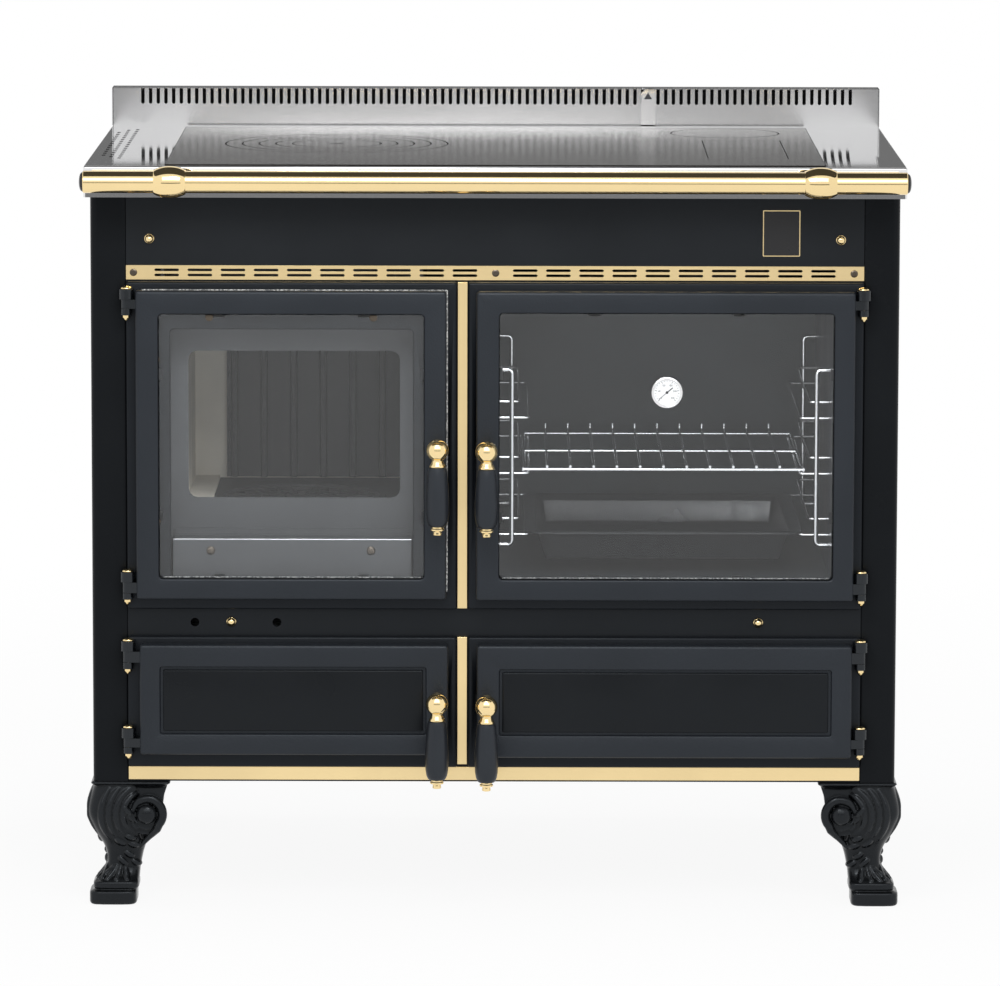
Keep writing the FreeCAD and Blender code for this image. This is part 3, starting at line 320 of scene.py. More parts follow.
def wires(name, paths, radius, corner, finish, body, slot, *nodes):
    """Bent wires as one curve piece, each path's corners rounded."""
    curve = bpy.data.curves.new(name, "CURVE")
    curve.dimensions = "3D"
    curve.bevel_depth = radius * MM
    curve.bevel_resolution = 4
    curve.use_fill_caps = True
    for path in paths:
        points = bent([Vector(point) for point in path], corner)
        spline = curve.splines.new("POLY")
        spline.points.add(len(points) - 1)
        for target, point in zip(spline.points, points):
            target.co = (*(point * MM), 1)
    settle(bpy.data.objects.new(name, curve), finish, body, nodes)


def bent(path, corner, steps=6):
    """The path with each inner corner turned on a curve that starts corner away from it."""
    points = [path[0]]
    for before, here, after in zip(path, path[1:], path[2:]):
        reach = min(corner, (here - before).length / 2.01, (after - here).length / 2.01)
        start = here + (before - here).normalized() * reach
        end = here + (after - here).normalized() * reach
        for i in range(steps + 1):
            t = i / steps
            points.append(start * (1 - t) ** 2 + here * (2 * t * (1 - t)) + end * t ** 2)
    points.append(path[-1])
    return points


def applied(holder):
    """An object's mesh with its modifiers applied."""
    bpy.context.view_layer.update()
    graph = bpy.context.evaluated_depsgraph_get()
    return bpy.data.meshes.new_from_object(holder.evaluated_get(graph))


# ---------------------------------------------------------------- finishes

FINISHES = {}
COLD = (0.86, 0.93, 1.0, 1.0)
PLAIN = (1.0, 1.0, 1.0, 1.0)
MIDDLE_NOISE = (0.3, 0.7)
SKIN_ROUGH_SPREAD = 0.08
LINE_DEPTH = 0.05


def add(tree, kind, links=None, **settings):
    """A node with its settings, its inputs set to values or linked to sockets."""
    made = tree.nodes.new(kind)
    for key, value in settings.items():
        setattr(made, key, value)
    for key, value in (links or {}).items():
        if isinstance(value, bpy.types.NodeSocket):
            tree.links.new(value, made.inputs[key])
        else:
            made.inputs[key].default_value = value
    return made


def effect(name, inputs, outputs):
    """An empty shader group with float or vector inputs and its outputs' kinds."""
    group = bpy.data.node_groups.new(name, "ShaderNodeTree")
    for label, kind, value in inputs:
        socket = group.interface.new_socket(label, in_out="INPUT", socket_type=kind)
        socket.default_value = value
    for label, kind in outputs:
        group.interface.new_socket(label, in_out="OUTPUT", socket_type=kind)
    return group, group.nodes.new("NodeGroupInput"), group.nodes.new("NodeGroupOutput")


def grain_effect():
    """Fine bumps of a cast or sprayed skin: a height, and a slow mottle of tone."""
    group, given, out = effect(
        "fine_grain",
        [("Scale", "NodeSocketFloat", 900.0), ("Mottle Scale", "NodeSocketFloat", 9.0)],
        [("Height", "NodeSocketFloat"), ("Mottle", "NodeSocketFloat")],
    )
    where = add(group, "ShaderNodeTexCoord").outputs["Object"]
    cells = add(group, "ShaderNodeTexVoronoi", {"Vector": where, "Scale": given.outputs["Scale"]},
                feature="SMOOTH_F1")
    specks = add(group, "ShaderNodeTexNoise",
                 {"Vector": where, "Scale": given.outputs["Scale"], "Detail": 3.0})
    both = add(group, "ShaderNodeMath", {0: cells.outputs["Distance"], 1: specks.outputs["Fac"]},
               operation="MULTIPLY")
    slow = add(group, "ShaderNodeTexNoise",
               {"Vector": where, "Scale": given.outputs["Mottle Scale"], "Detail": 4.0})
    group.links.new(both.outputs[0], out.inputs["Height"])
    group.links.new(slow.outputs["Fac"], out.inputs["Mottle"])
    return group


def brushed_effect():
    """Fine lines of a brushed or ground surface, along the axis with the least stretch."""
    group, given, out = effect(
        "brushed_lines",
        [("Stretch", "NodeSocketVector", (6.0, 900.0, 900.0)), ("Cloud Scale", "NodeSocketFloat", 6.0)],
        [("Lines", "NodeSocketFloat"), ("Cloud", "NodeSocketFloat")],
    )
    where = add(group, "ShaderNodeTexCoord").outputs["Object"]
    drawn = add(group, "ShaderNodeVectorMath", {0: where, 1: given.outputs["Stretch"]},
                operation="MULTIPLY")
    lines = add(group, "ShaderNodeTexNoise",
                {"Vector": drawn.outputs[0], "Scale": 1.0, "Detail": 2.0, "Roughness": 0.6})
    cloud = add(group, "ShaderNodeTexNoise",
                {"Vector": where, "Scale": given.outputs["Cloud Scale"], "Detail": 5.0,
                 "Roughness": 0.6})
    group.links.new(lines.outputs["Fac"], out.inputs["Lines"])
    group.links.new(cloud.outputs["Fac"], out.inputs["Cloud"])
    return group


def rope_effect():
    """The slanting strands of a twisted or braided rope, with paler tufts."""
    group, given, out = effect(
        "rope_strands",
        [("Scale", "NodeSocketFloat", 260.0)],
        [("Height", "NodeSocketFloat"), ("Tufts", "NodeSocketFloat")],
    )
    where = add(group, "ShaderNodeTexCoord").outputs["Object"]
    strands = add(group, "ShaderNodeTexWave",
                  {"Vector": where, "Scale": given.outputs["Scale"], "Distortion": 1.5, "Detail": 1.0},
                  bands_direction="DIAGONAL")
    tufts = add(group, "ShaderNodeTexNoise", {"Vector": where, "Scale": 420.0, "Detail": 2.0})
    group.links.new(strands.outputs["Fac"], out.inputs["Height"])
    group.links.new(tufts.outputs["Fac"], out.inputs["Tufts"])
    return group


def spread(tree, value, low, high):
    """A 0 to 1 value spread between two numbers."""
    return add(tree, "ShaderNodeMapRange", {"Value": value, "To Min": low, "To Max": high}).outputs[0]


def contrast(tree, value, low, high):
    """A noise value stretched so that low gives 0 and high gives 1."""
    limits = {"Value": value, "From Min": low, "From Max": high}
    return add(tree, "ShaderNodeMapRange", limits).outputs[0]


def blend_colours(tree, mask, first, second):
    """The first colour where the mask is 0, the second where it is 1."""
    mix = add(tree, "ShaderNodeMix", data_type="RGBA")
    mix.inputs["A"].default_value = (*first, 1)
    mix.inputs["B"].default_value = (*second, 1)
    tree.links.new(mask, mix.inputs["Factor"])
    return mix.outputs["Result"]


def bump(tree, height, strength, depth):
    """A normal bent by a height, its depth in millimetres."""
    relief = {"Height": height, "Strength": strength, "Distance": depth * MM}
    return add(tree, "ShaderNodeBump", relief).outputs["Normal"]


def shader(name, **sockets):
    """A material with one Principled shader, its plain sockets set on it."""
    material = bpy.data.materials.new(name)
    material.use_nodes = True
    tree = material.node_tree
    surface = tree.nodes["Principled BSDF"]
    for key, value in sockets.items():
        label = key.replace("_", " ").title().replace("Ior", "IOR")
        surface.inputs[label].default_value = value
    return material, tree, surface


def tint(colour, gain):
    """A colour made lighter or darker."""
    return tuple(min(1.0, c * gain) for c in colour)


def dappled(tree, surface, noise, colour, change):
    """Links a colour that a slow noise makes a little darker and lighter; gives the noise back."""
    tone = contrast(tree, noise, *MIDDLE_NOISE)
    colours = blend_colours(tree, tone, tint(colour, 1 - change), tint(colour, 1 + change))
    tree.links.new(colours, surface.inputs["Base Color"])
    return tone


def grained(name, colour, rough, scale, strength, level, sheen, depth=0.25, mottle=0.12):
    """Painted or cast skin with fine grain and a slow mottle."""
    material, tree, surface = shader(name, specular_ior_level=level, specular_tint=sheen)
    grain = add(tree, "ShaderNodeGroup", {"Scale": scale}, node_tree=FINISHES["grain"])
    tone = dappled(tree, surface, grain.outputs["Mottle"], colour, mottle)
    half = SKIN_ROUGH_SPREAD / 2
    tree.links.new(spread(tree, tone, rough - half, rough + half), surface.inputs["Roughness"])
    tree.links.new(bump(tree, grain.outputs["Height"], strength, depth), surface.inputs["Normal"])
    return material


def metal(name, colour, rough, stretch, line_strength, cloud=0.06, cloud_scale=6.0, rough_spread=0.06):
    """Polished, brushed or ground metal."""
    material, tree, surface = shader(name, metallic=1.0)
    lines = add(tree, "ShaderNodeGroup", {"Stretch": stretch, "Cloud Scale": cloud_scale},
                node_tree=FINISHES["brushed"])
    dappled(tree, surface, lines.outputs["Cloud"], colour, cloud)
    half = rough_spread / 2
    roughness = spread(tree, lines.outputs["Lines"], rough - half, rough + half)
    tree.links.new(roughness, surface.inputs["Roughness"])
    if line_strength:
        normal = bump(tree, lines.outputs["Lines"], line_strength, LINE_DEPTH)
        tree.links.new(normal, surface.inputs["Normal"])
    return material


def make_finishes(colours):
    """Every finish of the range, by name."""
    FINISHES["grain"] = grain_effect()
    FINISHES["brushed"] = brushed_effect()
    FINISHES["rope"] = rope_effect()
    enamel, cast, brass = tuple(colours.enamel), tuple(colours.cast), tuple(colours.brass)
    # Colour, roughness, grain scale and strength, specular level and tint, and what else differs
    skins = {
        "enamel": ("black_enamel", tint(enamel, 0.8), 0.4, 1400, 0.03, 0.2, COLD),
        # The side sheets take the casing's enamel darker (0.6 against 0.8) and less shiny: painted shade
        "post": ("post_enamel", tint(enamel, 0.6), 0.3, 1400, 0.03, 0.1, COLD),
        "panel": ("panel_enamel", tint(enamel, 0.6), 0.3, 1500, 0.03, 0.2, COLD),
        "cast": ("cast_enamel", tint(cast, 0.75), 0.42, 360, 0.75, 0.34, COLD, 0.4, 0.1),
        # The surrounds take the cast enamel at 0.4 against the doors' 0.75: partly their own black, partly
        # painted shade that the doors cast on them
        "surround": ("surround_enamel", tint(cast, 0.4), 0.42, 360, 0.6, 0.2, COLD, 0.4, 0.1),
        "knuckle": ("gloss_cast", tint(cast, 0.15), 0.22, 700, 0.06, 0.5, COLD),
        "grip": ("grip_black", (0.013, 0.015, 0.019), 0.36, 1300, 0.04, 0.4, COLD),
        "cap": ("cap_black", (0.012, 0.012, 0.013), 0.25, 900, 0.03, 0.4, PLAIN),
        # Near black for the window reveals: painted shade over the doors' own cast iron
        "reveal": ("dark_reveal", (0.004, 0.004, 0.005), 0.5, 480, 0.2, 0.1, PLAIN),
        "joint": ("dark_joint", (0.012, 0.011, 0.01), 0.6, 500, 0.05, 0.1, PLAIN),
        # Near black for the insides of slots and holes: painted shadow
        "shadow": ("inside_black", (0.006, 0.006, 0.006), 0.8, 500, 0.05, 0.1, PLAIN),
        "grey_steel": ("stove_grey", (0.1, 0.1, 0.103), 0.5, 900, 0.03, 0.2, PLAIN),
        "dark_iron": ("dark_iron", (0.036, 0.036, 0.036), 0.5, 300, 0.08, 0.3, PLAIN, 0.25, 0.2),
        "brick": ("firebrick", (0.78, 0.72, 0.63), 0.9, 260, 0.15, 0.5, PLAIN, 0.25, 0.14),
        "oven_enamel": ("oven_enamel", (0.036, 0.041, 0.047), 0.35, 500, 0.02, 0.15, PLAIN, 0.25, 0.3),
        "tray": ("tray_enamel", (0.012, 0.013, 0.015), 0.16, 800, 0.03, 0.5, PLAIN),
        "dial": ("dial_white", (0.86, 0.87, 0.88), 0.4, 900, 0.01, 0.5, PLAIN, 0.25, 0.02),
        "ink": ("dial_ink", (0.03, 0.03, 0.035), 0.5, 900, 0.01, 0.5, PLAIN),
    }
    # Colour, roughness, the lines' stretch and strength, cloud and its scale, roughness spread
    metals = {
        "brass": ("polished_brass", brass, 0.08, (30, 30, 30), 0.0, 0.05),
        "brushed_brass": ("brushed_brass", tint(brass, 0.98), 0.3, (4, 900, 900), 0.12),
        "steel": ("bright_steel", (0.8, 0.8, 0.805), 0.06, (5, 1100, 1100), 0.03, 0.02, 6.0, 0.03),
        "splash_steel": ("brushed_upstand", (0.66, 0.66, 0.665), 0.16, (5, 1100, 1100), 0.06, 0.03, 6.0,
                         0.05),
        "hotplate": ("ground_iron", (0.132, 0.127, 0.12), 0.24, (150, 9, 150), 0.1, 0.12, 7.0, 0.05),
        "chrome": ("chromed_wire", (0.86, 0.86, 0.87), 0.14, (40, 40, 40), 0.0),
        "sheet": ("plain_sheet", (0.42, 0.42, 0.43), 0.4, (5, 500, 500), 0.1),
        "dark_screw": ("dark_screw", (0.12, 0.1, 0.08), 0.35, (40, 40, 40), 0.0),
    }
    for made, finishes in ((grained, skins), (metal, metals)):
        FINISHES.update({finish: made(*values) for finish, values in finishes.items()})
    FINISHES["foot"] = carved_finish(tuple(colours.foot))
    FINISHES["rope_seal"] = rope_finish()
    FINISHES["glass"] = glass_finish()


def carved_finish(colour):
    """Gloss black over carving, with a painted highlight where the carving stands out and painted shade in
    its hollows.
    """
    material, tree, surface = shader("foot_black", specular_ior_level=0.24, specular_tint=COLD)
    # Painted light from pointiness: the base colour rises to six times the paint where the carving stands
    # out (painted highlight) and drops to a fifth in its hollows (painted shade)
    painted_relief_light = contrast(tree, add(tree, "ShaderNodeNewGeometry").outputs["Pointiness"], 0.47, 0.6)
    tree.links.new(blend_colours(tree, painted_relief_light, tint(colour, 0.2), tint(colour, 6)),
                   surface.inputs["Base Color"])
    grain = add(tree, "ShaderNodeGroup", {"Scale": 520.0}, node_tree=FINISHES["grain"])
    tree.links.new(spread(tree, grain.outputs["Mottle"], 0.16, 0.28), surface.inputs["Roughness"])
    tree.links.new(bump(tree, grain.outputs["Height"], 0.08, 0.25), surface.inputs["Normal"])
    return material


def rope_finish():
    """Grey glass-fibre rope with paler tufts."""
    material, tree, surface = shader("rope_seal", roughness=0.85)
    strands = add(tree, "ShaderNodeGroup", node_tree=FINISHES["rope"])
    mask = contrast(tree, strands.outputs["Tufts"], 0.45, 0.62)
    tree.links.new(blend_colours(tree, mask, (0.12, 0.125, 0.13), (0.62, 0.62, 0.6)),
                   surface.inputs["Base Color"])
    tree.links.new(bump(tree, strands.outputs["Height"], 0.8, 0.5), surface.inputs["Normal"])
    return material


def glass_finish():
    """Clear door glass: it reflects, light goes through it unbent, and lamps shine through."""
    material, tree, surface = shader("door_glass", metallic=0.0, transmission_weight=1.0, ior=1.45,
                                     roughness=0.0)
    grain = add(tree, "ShaderNodeGroup", node_tree=FINISHES["grain"])
    tree.links.new(blend_colours(tree, grain.outputs["Mottle"], (0.9, 0.93, 0.95), (0.97, 0.98, 0.99)),
                   surface.inputs["Base Color"])
    path = add(tree, "ShaderNodeLightPath")
    through = add(tree, "ShaderNodeMath", {0: path.outputs["Is Shadow Ray"],
                                           1: path.outputs["Is Diffuse Ray"]}, operation="MAXIMUM")
    clear = add(tree, "ShaderNodeBsdfTransparent", {"Color": (0.93, 0.95, 0.96, 1)})
    mix = add(tree, "ShaderNodeMixShader", {0: through.outputs[0], 1: surface.outputs[0],
                                            2: clear.outputs[0]})
    tree.links.new(mix.outputs[0], tree.nodes["Material Output"].inputs["Surface"])
    return material


# ---------------------------------------------------------------- casing

def build_casing():
    """The folded side panels, and finishes for the flat sheets."""
    for side, name in ((-1, "left_side_panel"), (1, "right_side_panel")):
        form = Form()
        outer = post_section(0.0)
        inner = post_section(2.0)
        section = [(side * x, y) for x, y in outer + inner[::-1]]
        ends = (BODY_FLOOR, WORKTOP_TOP - STEEL)
        form.skin([[(x, y, z) for x, y in section] for z in ends], caps=False)
        strips = len(outer)
        for level in ends:
            for i in range(strips - 1):
                j = 2 * strips - 1 - i
                corners = [section[i], section[i + 1], section[j - 1], section[j]]
                form.bm.faces.new([form.bm.verts.new((x, y, level)) for x, y in corners])
        # Finished in the darker copy of the enamel, which is painted shade
        piece(f"{name}_sheet", form, "post", "cabinet", "black_enamel", name)
    for node, finish in (
        ("top_fascia", "enamel"), ("front_frame", "enamel"), ("base_pan", "enamel"),
        ("rear_panel", "sheet"), ("firebox_shell", "grey_steel"), ("storage_liner", "sheet"),
        ("firebox_back_plate", "dark_iron"), ("firebricks", "brick"), ("oven_liner", "oven_enamel"),
        ("flue_box", "grey_steel"), ("ash_pan", "sheet"), ("firebox_front_plate", "grey_steel"),
        ("damper_lever", "steel"), ("fire_door_clips", "sheet"), ("oven_door_clips", "sheet"),
        ("fire_door_glass", "glass"), ("oven_door_glass", "glass"),
    ):
        dress(node, finish)


def dress(node, finish):
    """A new finish on a solid that stays as it is."""
    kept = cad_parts[node]
    kept.data.materials.clear()
    kept.data.materials.append(FINISHES[finish])


def post_section(shrink):
    """Section of the side sheet from the post's inner lip round to the rear fold."""
    corner = 10.0 - shrink
    outer, front, rear = BODY_SIDE - shrink, BODY_FRONT + shrink, BODY_REAR - shrink
    post, soft = POST_EDGE + shrink, 2.4 - shrink / 2
    points = [(post, BODY_FRONT + 18)]
    points += arc((post + soft, front + soft), soft, 180, 270, 4)
    points += arc((outer - corner, front + corner), corner, 270, 360, 8)
    points += [(outer, rear), (BODY_SIDE - 24, rear)]
    return points


# ---------------------------------------------------------------- feet

# Leg and pad as (height, near side, far side) from the foot's outer corner, the flange as (height,
# overhang), and each leaf tip as (across, height, length, lean)
FOOT_LEG = (
    (150.0, 0.0, 60.0), (139.0, -3.2, 56.0), (125.0, -6.6, 52.0), (112.0, -6.8, 49.0),
    (99.0, -2.6, 52.0), (86.0, 3.0, 60.0), (72.0, 10.6, 63.0), (60.0, 14.6, 60.0),
    (48.0, 15.2, 57.5), (41.0, 13.6, 56.2), (34.0, 8.0, 55.6), (28.5, 1.0, 55.2), (25.0, 0.6, 55.0),
)
FOOT_PAD = (
    (29.0, 6.0, 50.0), (28.2, 0.6, 54.4), (26.6, -1.0, 55.4), (20.4, -1.2, 55.4), (18.6, 0.8, 53.8),
    (17.4, 0.8, 53.4), (16.4, -4.8, 52.8), (14.6, -5.6, 53.2), (3.0, -5.6, 53.2), (1.0, -4.8, 52.4),
    (0.0, -3.4, 51.2),
)
FOOT_FLANGE = ((154.5, 0.0), (152.9, 2.6), (152.2, 3.4), (151.4, 2.4), (149.6, -0.5), (148.2, -3.0),
               (145.5, -5.0))
FLANGE_OUTLINE = (0.0, 92.0, 0.0, 92.0)
LEAF_TIPS = ((46, 83, 13, 20), (33, 77, 14, 38), (50, 73, 13, 12), (44, 60, 13, 30), (36, 51, 15, 42),
             (52, 49, 12, 30))
TOE_LEAF = ((6.0, 30.0), (15.0, 29.5), (27.0, 29.2), (41.0, 29.5))
VOLUTE = (65.5, 113.0)
RIM_RADIUS = 20.0
SQUARENESS = 3.4
FOOT_REACH = 502.5


def squarish(height, low, high, power=SQUARENESS, steps=64):
    """A ring between a square and a circle, in the foot's own corner frame."""
    centre, half = (low + high) / 2, (high - low) / 2
    ring = []
    for i in range(steps):
        turn = 2 * math.pi * i / steps
        c, s = math.cos(turn), math.sin(turn)
        ring.append((centre + half * math.copysign(abs(c) ** (2 / power), c),
                     centre + half * math.copysign(abs(s) ** (2 / power), s), height))
    return ring


def leg_depth(x, z):
    """How far back the leg's face lies at a place on it."""
    for (z1, a1, b1), (z0, a0, b0) in zip(FOOT_LEG, FOOT_LEG[1:]):
        if z0 <= z <= z1:
            share = (z - z0) / (z1 - z0)
            low, high = a0 + (a1 - a0) * share, b0 + (b1 - b0) * share
            centre, half = (low + high) / 2, (high - low) / 2
            across = min(0.985, abs(x - centre) / half)
            return centre - half * (1 - across ** SQUARENESS) ** (1 / SQUARENESS)
    return 0.0


def foot_form():
    """One carved cabriole foot for the corner at the origin, scrolls towards +X and +Y."""
    form = Form()
    form.skin([squarish(*station) for station in eased(FOOT_LEG, 4)])
    form.skin([squarish(*station, 5.5) for station in FOOT_PAD])
    form.skin([[(x, y, z) for x, y in rounded(FLANGE_OUTLINE, 2.0, grow)] for z, grow in FOOT_FLANGE])
    for swap in (False, True):
        carve_face(form, swap)
    return form


def carve_face(form, swap):
    """The volute, the strands that sweep round it, the leaf tips down the shin and the toe's leaf."""
    def put(x, depth, z):
        return (depth, x, z) if swap else (x, depth, z)

    def strand(places, widest, lift, sharp=0.7, start=0.08, end=0.97):
        """A tapered ridge over places given as (x, z), lying on the leg's face."""
        path, radii = [], []
        for i, (x, z) in enumerate(places):
            share = start + (end - start) * i / (len(places) - 1)
            path.append(put(x, leg_depth(x, z) + lift, z))
            radii.append(0.5 + widest * math.sin(math.pi * share) ** sharp)
        form.tube(path, radii, 10)

    cx, cz = VOLUTE
    rim = []
    for i in range(25):
        turn = math.radians(-40 + 11 * i)
        reach = RIM_RADIUS - 4.6 * max(0.0, (i - 10) / 14)
        rim.append((cx + reach * math.cos(turn), cz + reach * math.sin(turn)))
    rim = [(57, 69), (62, 76), (68, 83), (74, 89), (78.5, 94)] + rim
    path, radii = [], []
    for i, (x, z) in enumerate(rim):
        path.append(put(x, max(-0.5, 15 - 3.4 * i), z))
        radii.append(min(4.6, 2.4 + 0.5 * i) + 1.2 * math.sin(math.pi * min(1, i / 22))
                     - 3.4 * max(0, (i - 19) / 10))
    form.tube(path, radii, 14)
    form.tube([put(cx, 26, cz), put(cx, 3.5, cz)], 20.0, 32)
    form.ball(put(cx, -1.0, cz), (8.4, 12.4, 12.4) if swap else (12.4, 8.4, 12.4), 16)
    web = [(40, 148), (91, 148), (87, 136), (85, 120), (83, 104), (75, 92), (62, 86), (40, 92)]
    form.skin([[put(x, depth, z) for x, z in web] for depth in (5.5, 22)])
    lower_web = [(46, 66), (56, 66), (66, 79), (76, 91), (82, 104), (58, 110)]
    form.skin([[put(x, depth, z) for x, z in lower_web] for depth in (17, 32)])
    for k in range(4):
        reach = 29.0 + 9.0 * k
        start = max(96.0, 180 - math.degrees(math.asin(min(1.0, 33.0 / reach))))
        finish = 226 - 4 * k
        places = []
        for i in range(17):
            turn = math.radians(start + (finish - start) * i / 16)
            places.append((max(cx + reach * math.cos(turn), 2.5), cz + reach * math.sin(turn)))
        strand(places, 3.9, 1.2)
    for k in range(3):
        places = []
        for i in range(11):
            t = i / 10
            places.append((38 + 5 * k + 13 * t, cz + 11 - 11 * k - 6 * t - 5 * math.sin(math.pi * t)))
        strand(places, 3.7, -1.6, 0.6)
    for x, z, length, lean in LEAF_TIPS:
        places = []
        for i in range(9):
            t = i / 8 - 0.5
            places.append((x + length * t * math.cos(math.radians(lean)),
                           z - length * t * math.sin(math.radians(lean)) + 6 * t * t))
        strand(places, 3.6, 0.3, 0.6, 0.1, 0.9)
    for x, bottom in TOE_LEAF:
        places = []
        for i in range(11):
            t = i / 10
            places.append((22 + 0.4 * x + (0.6 * x - 22) * t ** 1.5, 47 + (bottom - 47) * t))
        strand(places, 2.7, 0.4, 0.7, 0.05, 0.85)


def build_feet(voxel):
    """Four feet from one remeshed form, mirrored to the corners."""
    holder = bpy.data.objects.new("foot_source", foot_form().mesh("foot_source"))
    bpy.context.scene.collection.objects.link(holder)
    remesh = holder.modifiers.new("cast", "REMESH")
    remesh.mode = "VOXEL"
    remesh.voxel_size = voxel
    soft = holder.modifiers.new("soft", "SMOOTH")
    soft.factor = 0.5
    soft.iterations = 3
    thin = holder.modifiers.new("thin", "DECIMATE")
    thin.ratio = 0.45
    cast = applied(holder)
    bpy.data.objects.remove(holder)
    corners = [vertex.co / MM for vertex in cast.vertices]
    faces = [tuple(polygon.vertices) for polygon in cast.polygons]
    for left, front, name in ((True, True, "front_left"), (False, True, "front_right"),
                              (True, False, "rear_left"), (False, False, "rear_right")):
        placed = []
        for corner in corners:
            x = -BODY_SIDE + corner.x if left else BODY_SIDE - corner.x
            y = BODY_FRONT + corner.y if front else BODY_REAR - corner.y
            x = max(-FOOT_REACH, min(FOOT_REACH, x))
            placed.append((x * MM, y * MM, max(0.0, min(corner.z, BODY_FLOOR)) * MM))
        turned = faces if left == front else [face[::-1] for face in faces]
        mesh = bpy.data.meshes.new(f"foot_{name}")
        mesh.from_pydata(placed, [], turned)
        mesh.validate()
        mesh.shade_smooth()
        piece(f"foot_{name}", mesh, "foot", "cabinet", "foot_black", "feet")


# ---------------------------------------------------------------- front

def cut_pocket(holder, box):
    """A box-shaped hole cut through a mesh piece."""
    form = Form()
    form.block(*box)
    cutter = bpy.data.objects.new("cutter", form.mesh("cutter"))
    bpy.context.scene.collection.objects.link(cutter)
    cut = holder.modifiers.new("pocket", "BOOLEAN")
    cut.operation = "DIFFERENCE"
    cut.object = cutter
    cut.solver = "EXACT"
    mesh = applied(holder)
    holder.modifiers.clear()
    holder.data = mesh
    bpy.data.objects.remove(cutter)


def ring_at(outline, corner, y, grow=0.0):
    """A rounded upright rectangle at one depth."""
    return [(x, y, z) for x, z in rounded(outline, corner, grow)]


def fillet(outline, corner, y, radius, steps=4, back=False):
    """Rings that turn from the plane at y to the outline's side."""
    rings = []
    for i in range(steps + 1):
        turn = math.pi / 2 * i / steps
        inset = radius * (1 - math.sin(turn))
        depth = radius * (1 - math.cos(turn))
        rings.append(ring_at(outline, corner, y - depth if back else y + depth, -inset))
    return rings[::-1] if back else rings


def ear_outline(x, y, radius, reach, towards):
    """Half round about a pin, with straight sides towards what carries it."""
    facing = math.degrees(math.atan2(towards[1], towards[0]))
    points = arc((x, y), radius, facing + 90, facing + 270, 12)
    across = (-towards[1] * radius, towards[0] * radius)
    end = (x + towards[0] * reach, y + towards[1] * reach)
    points += [(end[0] - across[0], end[1] - across[1]), (end[0] + across[0], end[1] + across[1])]
    return points


# How far the latch's pocket reaches from its spindle: free side, latch side, down, up
LATCH_POCKET = (7.4, 14.6, 15.6, 6.4)
# Radius and height of the upper and the lower knuckle, and the gaps to the door's lug
UPPER_KNUCKLE = (9.0, 12.5)
LOWER_KNUCKLE = (6.5, 8.0)
KNUCKLE_GAP = 0.3


def build_surrounds():
    """Cast surrounds with the latches' pockets, and the knuckles that carry the pins."""
    for name, front in FRONTS.items():
        form = Form()
        outer, throat = front["surround"], front["throat"]
        rings = fillet(outer, 3.0, SURROUND_FRONT, 3.0)
        rings.append(ring_at(outer, 3.0, BODY_FRONT))
        rings.append(ring_at(throat, 5.0, BODY_FRONT))
        rings.append(ring_at(throat, 5.0, SURROUND_FRONT + 1.5))
        rings.append(ring_at(throat, 5.0, SURROUND_FRONT, 1.5))
        form.skin(rings, closed=True)
        made = piece(f"{name}_surround_casting", form, "surround", "cabinet", "cast_black",
                     f"{name}_door_surround")
        x, z = front["handle"]
        side = front["side"]
        free, latched, down, up = LATCH_POCKET
        ends = sorted((x + side * free, x - side * latched))
        cut_pocket(made, (*ends, SURROUND_FRONT - 1, BODY_FRONT + 1, z - down, z + up))
        knuckles = Form()
        for low, high in front["lugs"]:
            below = low - LOWER_KNUCKLE[1] - KNUCKLE_GAP
            for (radius, length), start in ((UPPER_KNUCKLE, high + KNUCKLE_GAP), (LOWER_KNUCKLE, below)):
                outline = ear_outline(side * HINGE_X, HINGE_Y, radius, 14, (0, 1))
                knuckles.plate([outline], start, start + length, axis="Z")
        piece(f"{name}_surround_knuckles", knuckles, "knuckle", "cabinet", "cast_black",
              bevel=1.0, segments=3)


def build_pins():
    """Loose brass pins, crowned above and turned to a point below."""
    form = Form()
    for front in FRONTS.values():
        x = front["side"] * HINGE_X
        for low, high in front["lugs"]:
            top = high + KNUCKLE_GAP + UPPER_KNUCKLE[1]
            foot = low - LOWER_KNUCKLE[1] - KNUCKLE_GAP
            profile = [(0.0, foot - 6.4), (1.8, foot - 6.2), (2.8, foot - 5.2), (4.4, foot - 3.0),
                       (4.4, foot - 0.1), (3.0, foot), (3.0, top), (6.6, top), (7.0, top + 0.5)]
            profile += dome(7.0, top + 0.8, 3.0, 6)
            form.lathe(profile, (x, HINGE_Y, 0), steps=28)
    piece("hinge_pin_set", form, "brass", "cabinet", "polished_brass", "hinge_pins")


def door_lugs(name, front):
    """The door's bored ears between the knuckles."""
    form = Form()
    side = front["side"]
    edge = front["door"][0] if side < 0 else front["door"][1]
    for low, high in front["lugs"]:
        outline = ear_outline(side * HINGE_X, HINGE_Y, 6.5, abs(side * HINGE_X - edge) + 4, (-side, 0))
        form.plate([outline, arc((side * HINGE_X, HINGE_Y), 3.1, 0, 345, 23)], low, high, axis="Z")
    piece(f"{name}_door_lugs", form, "knuckle", f"{name}_door", "cast_black", bevel=0.8)


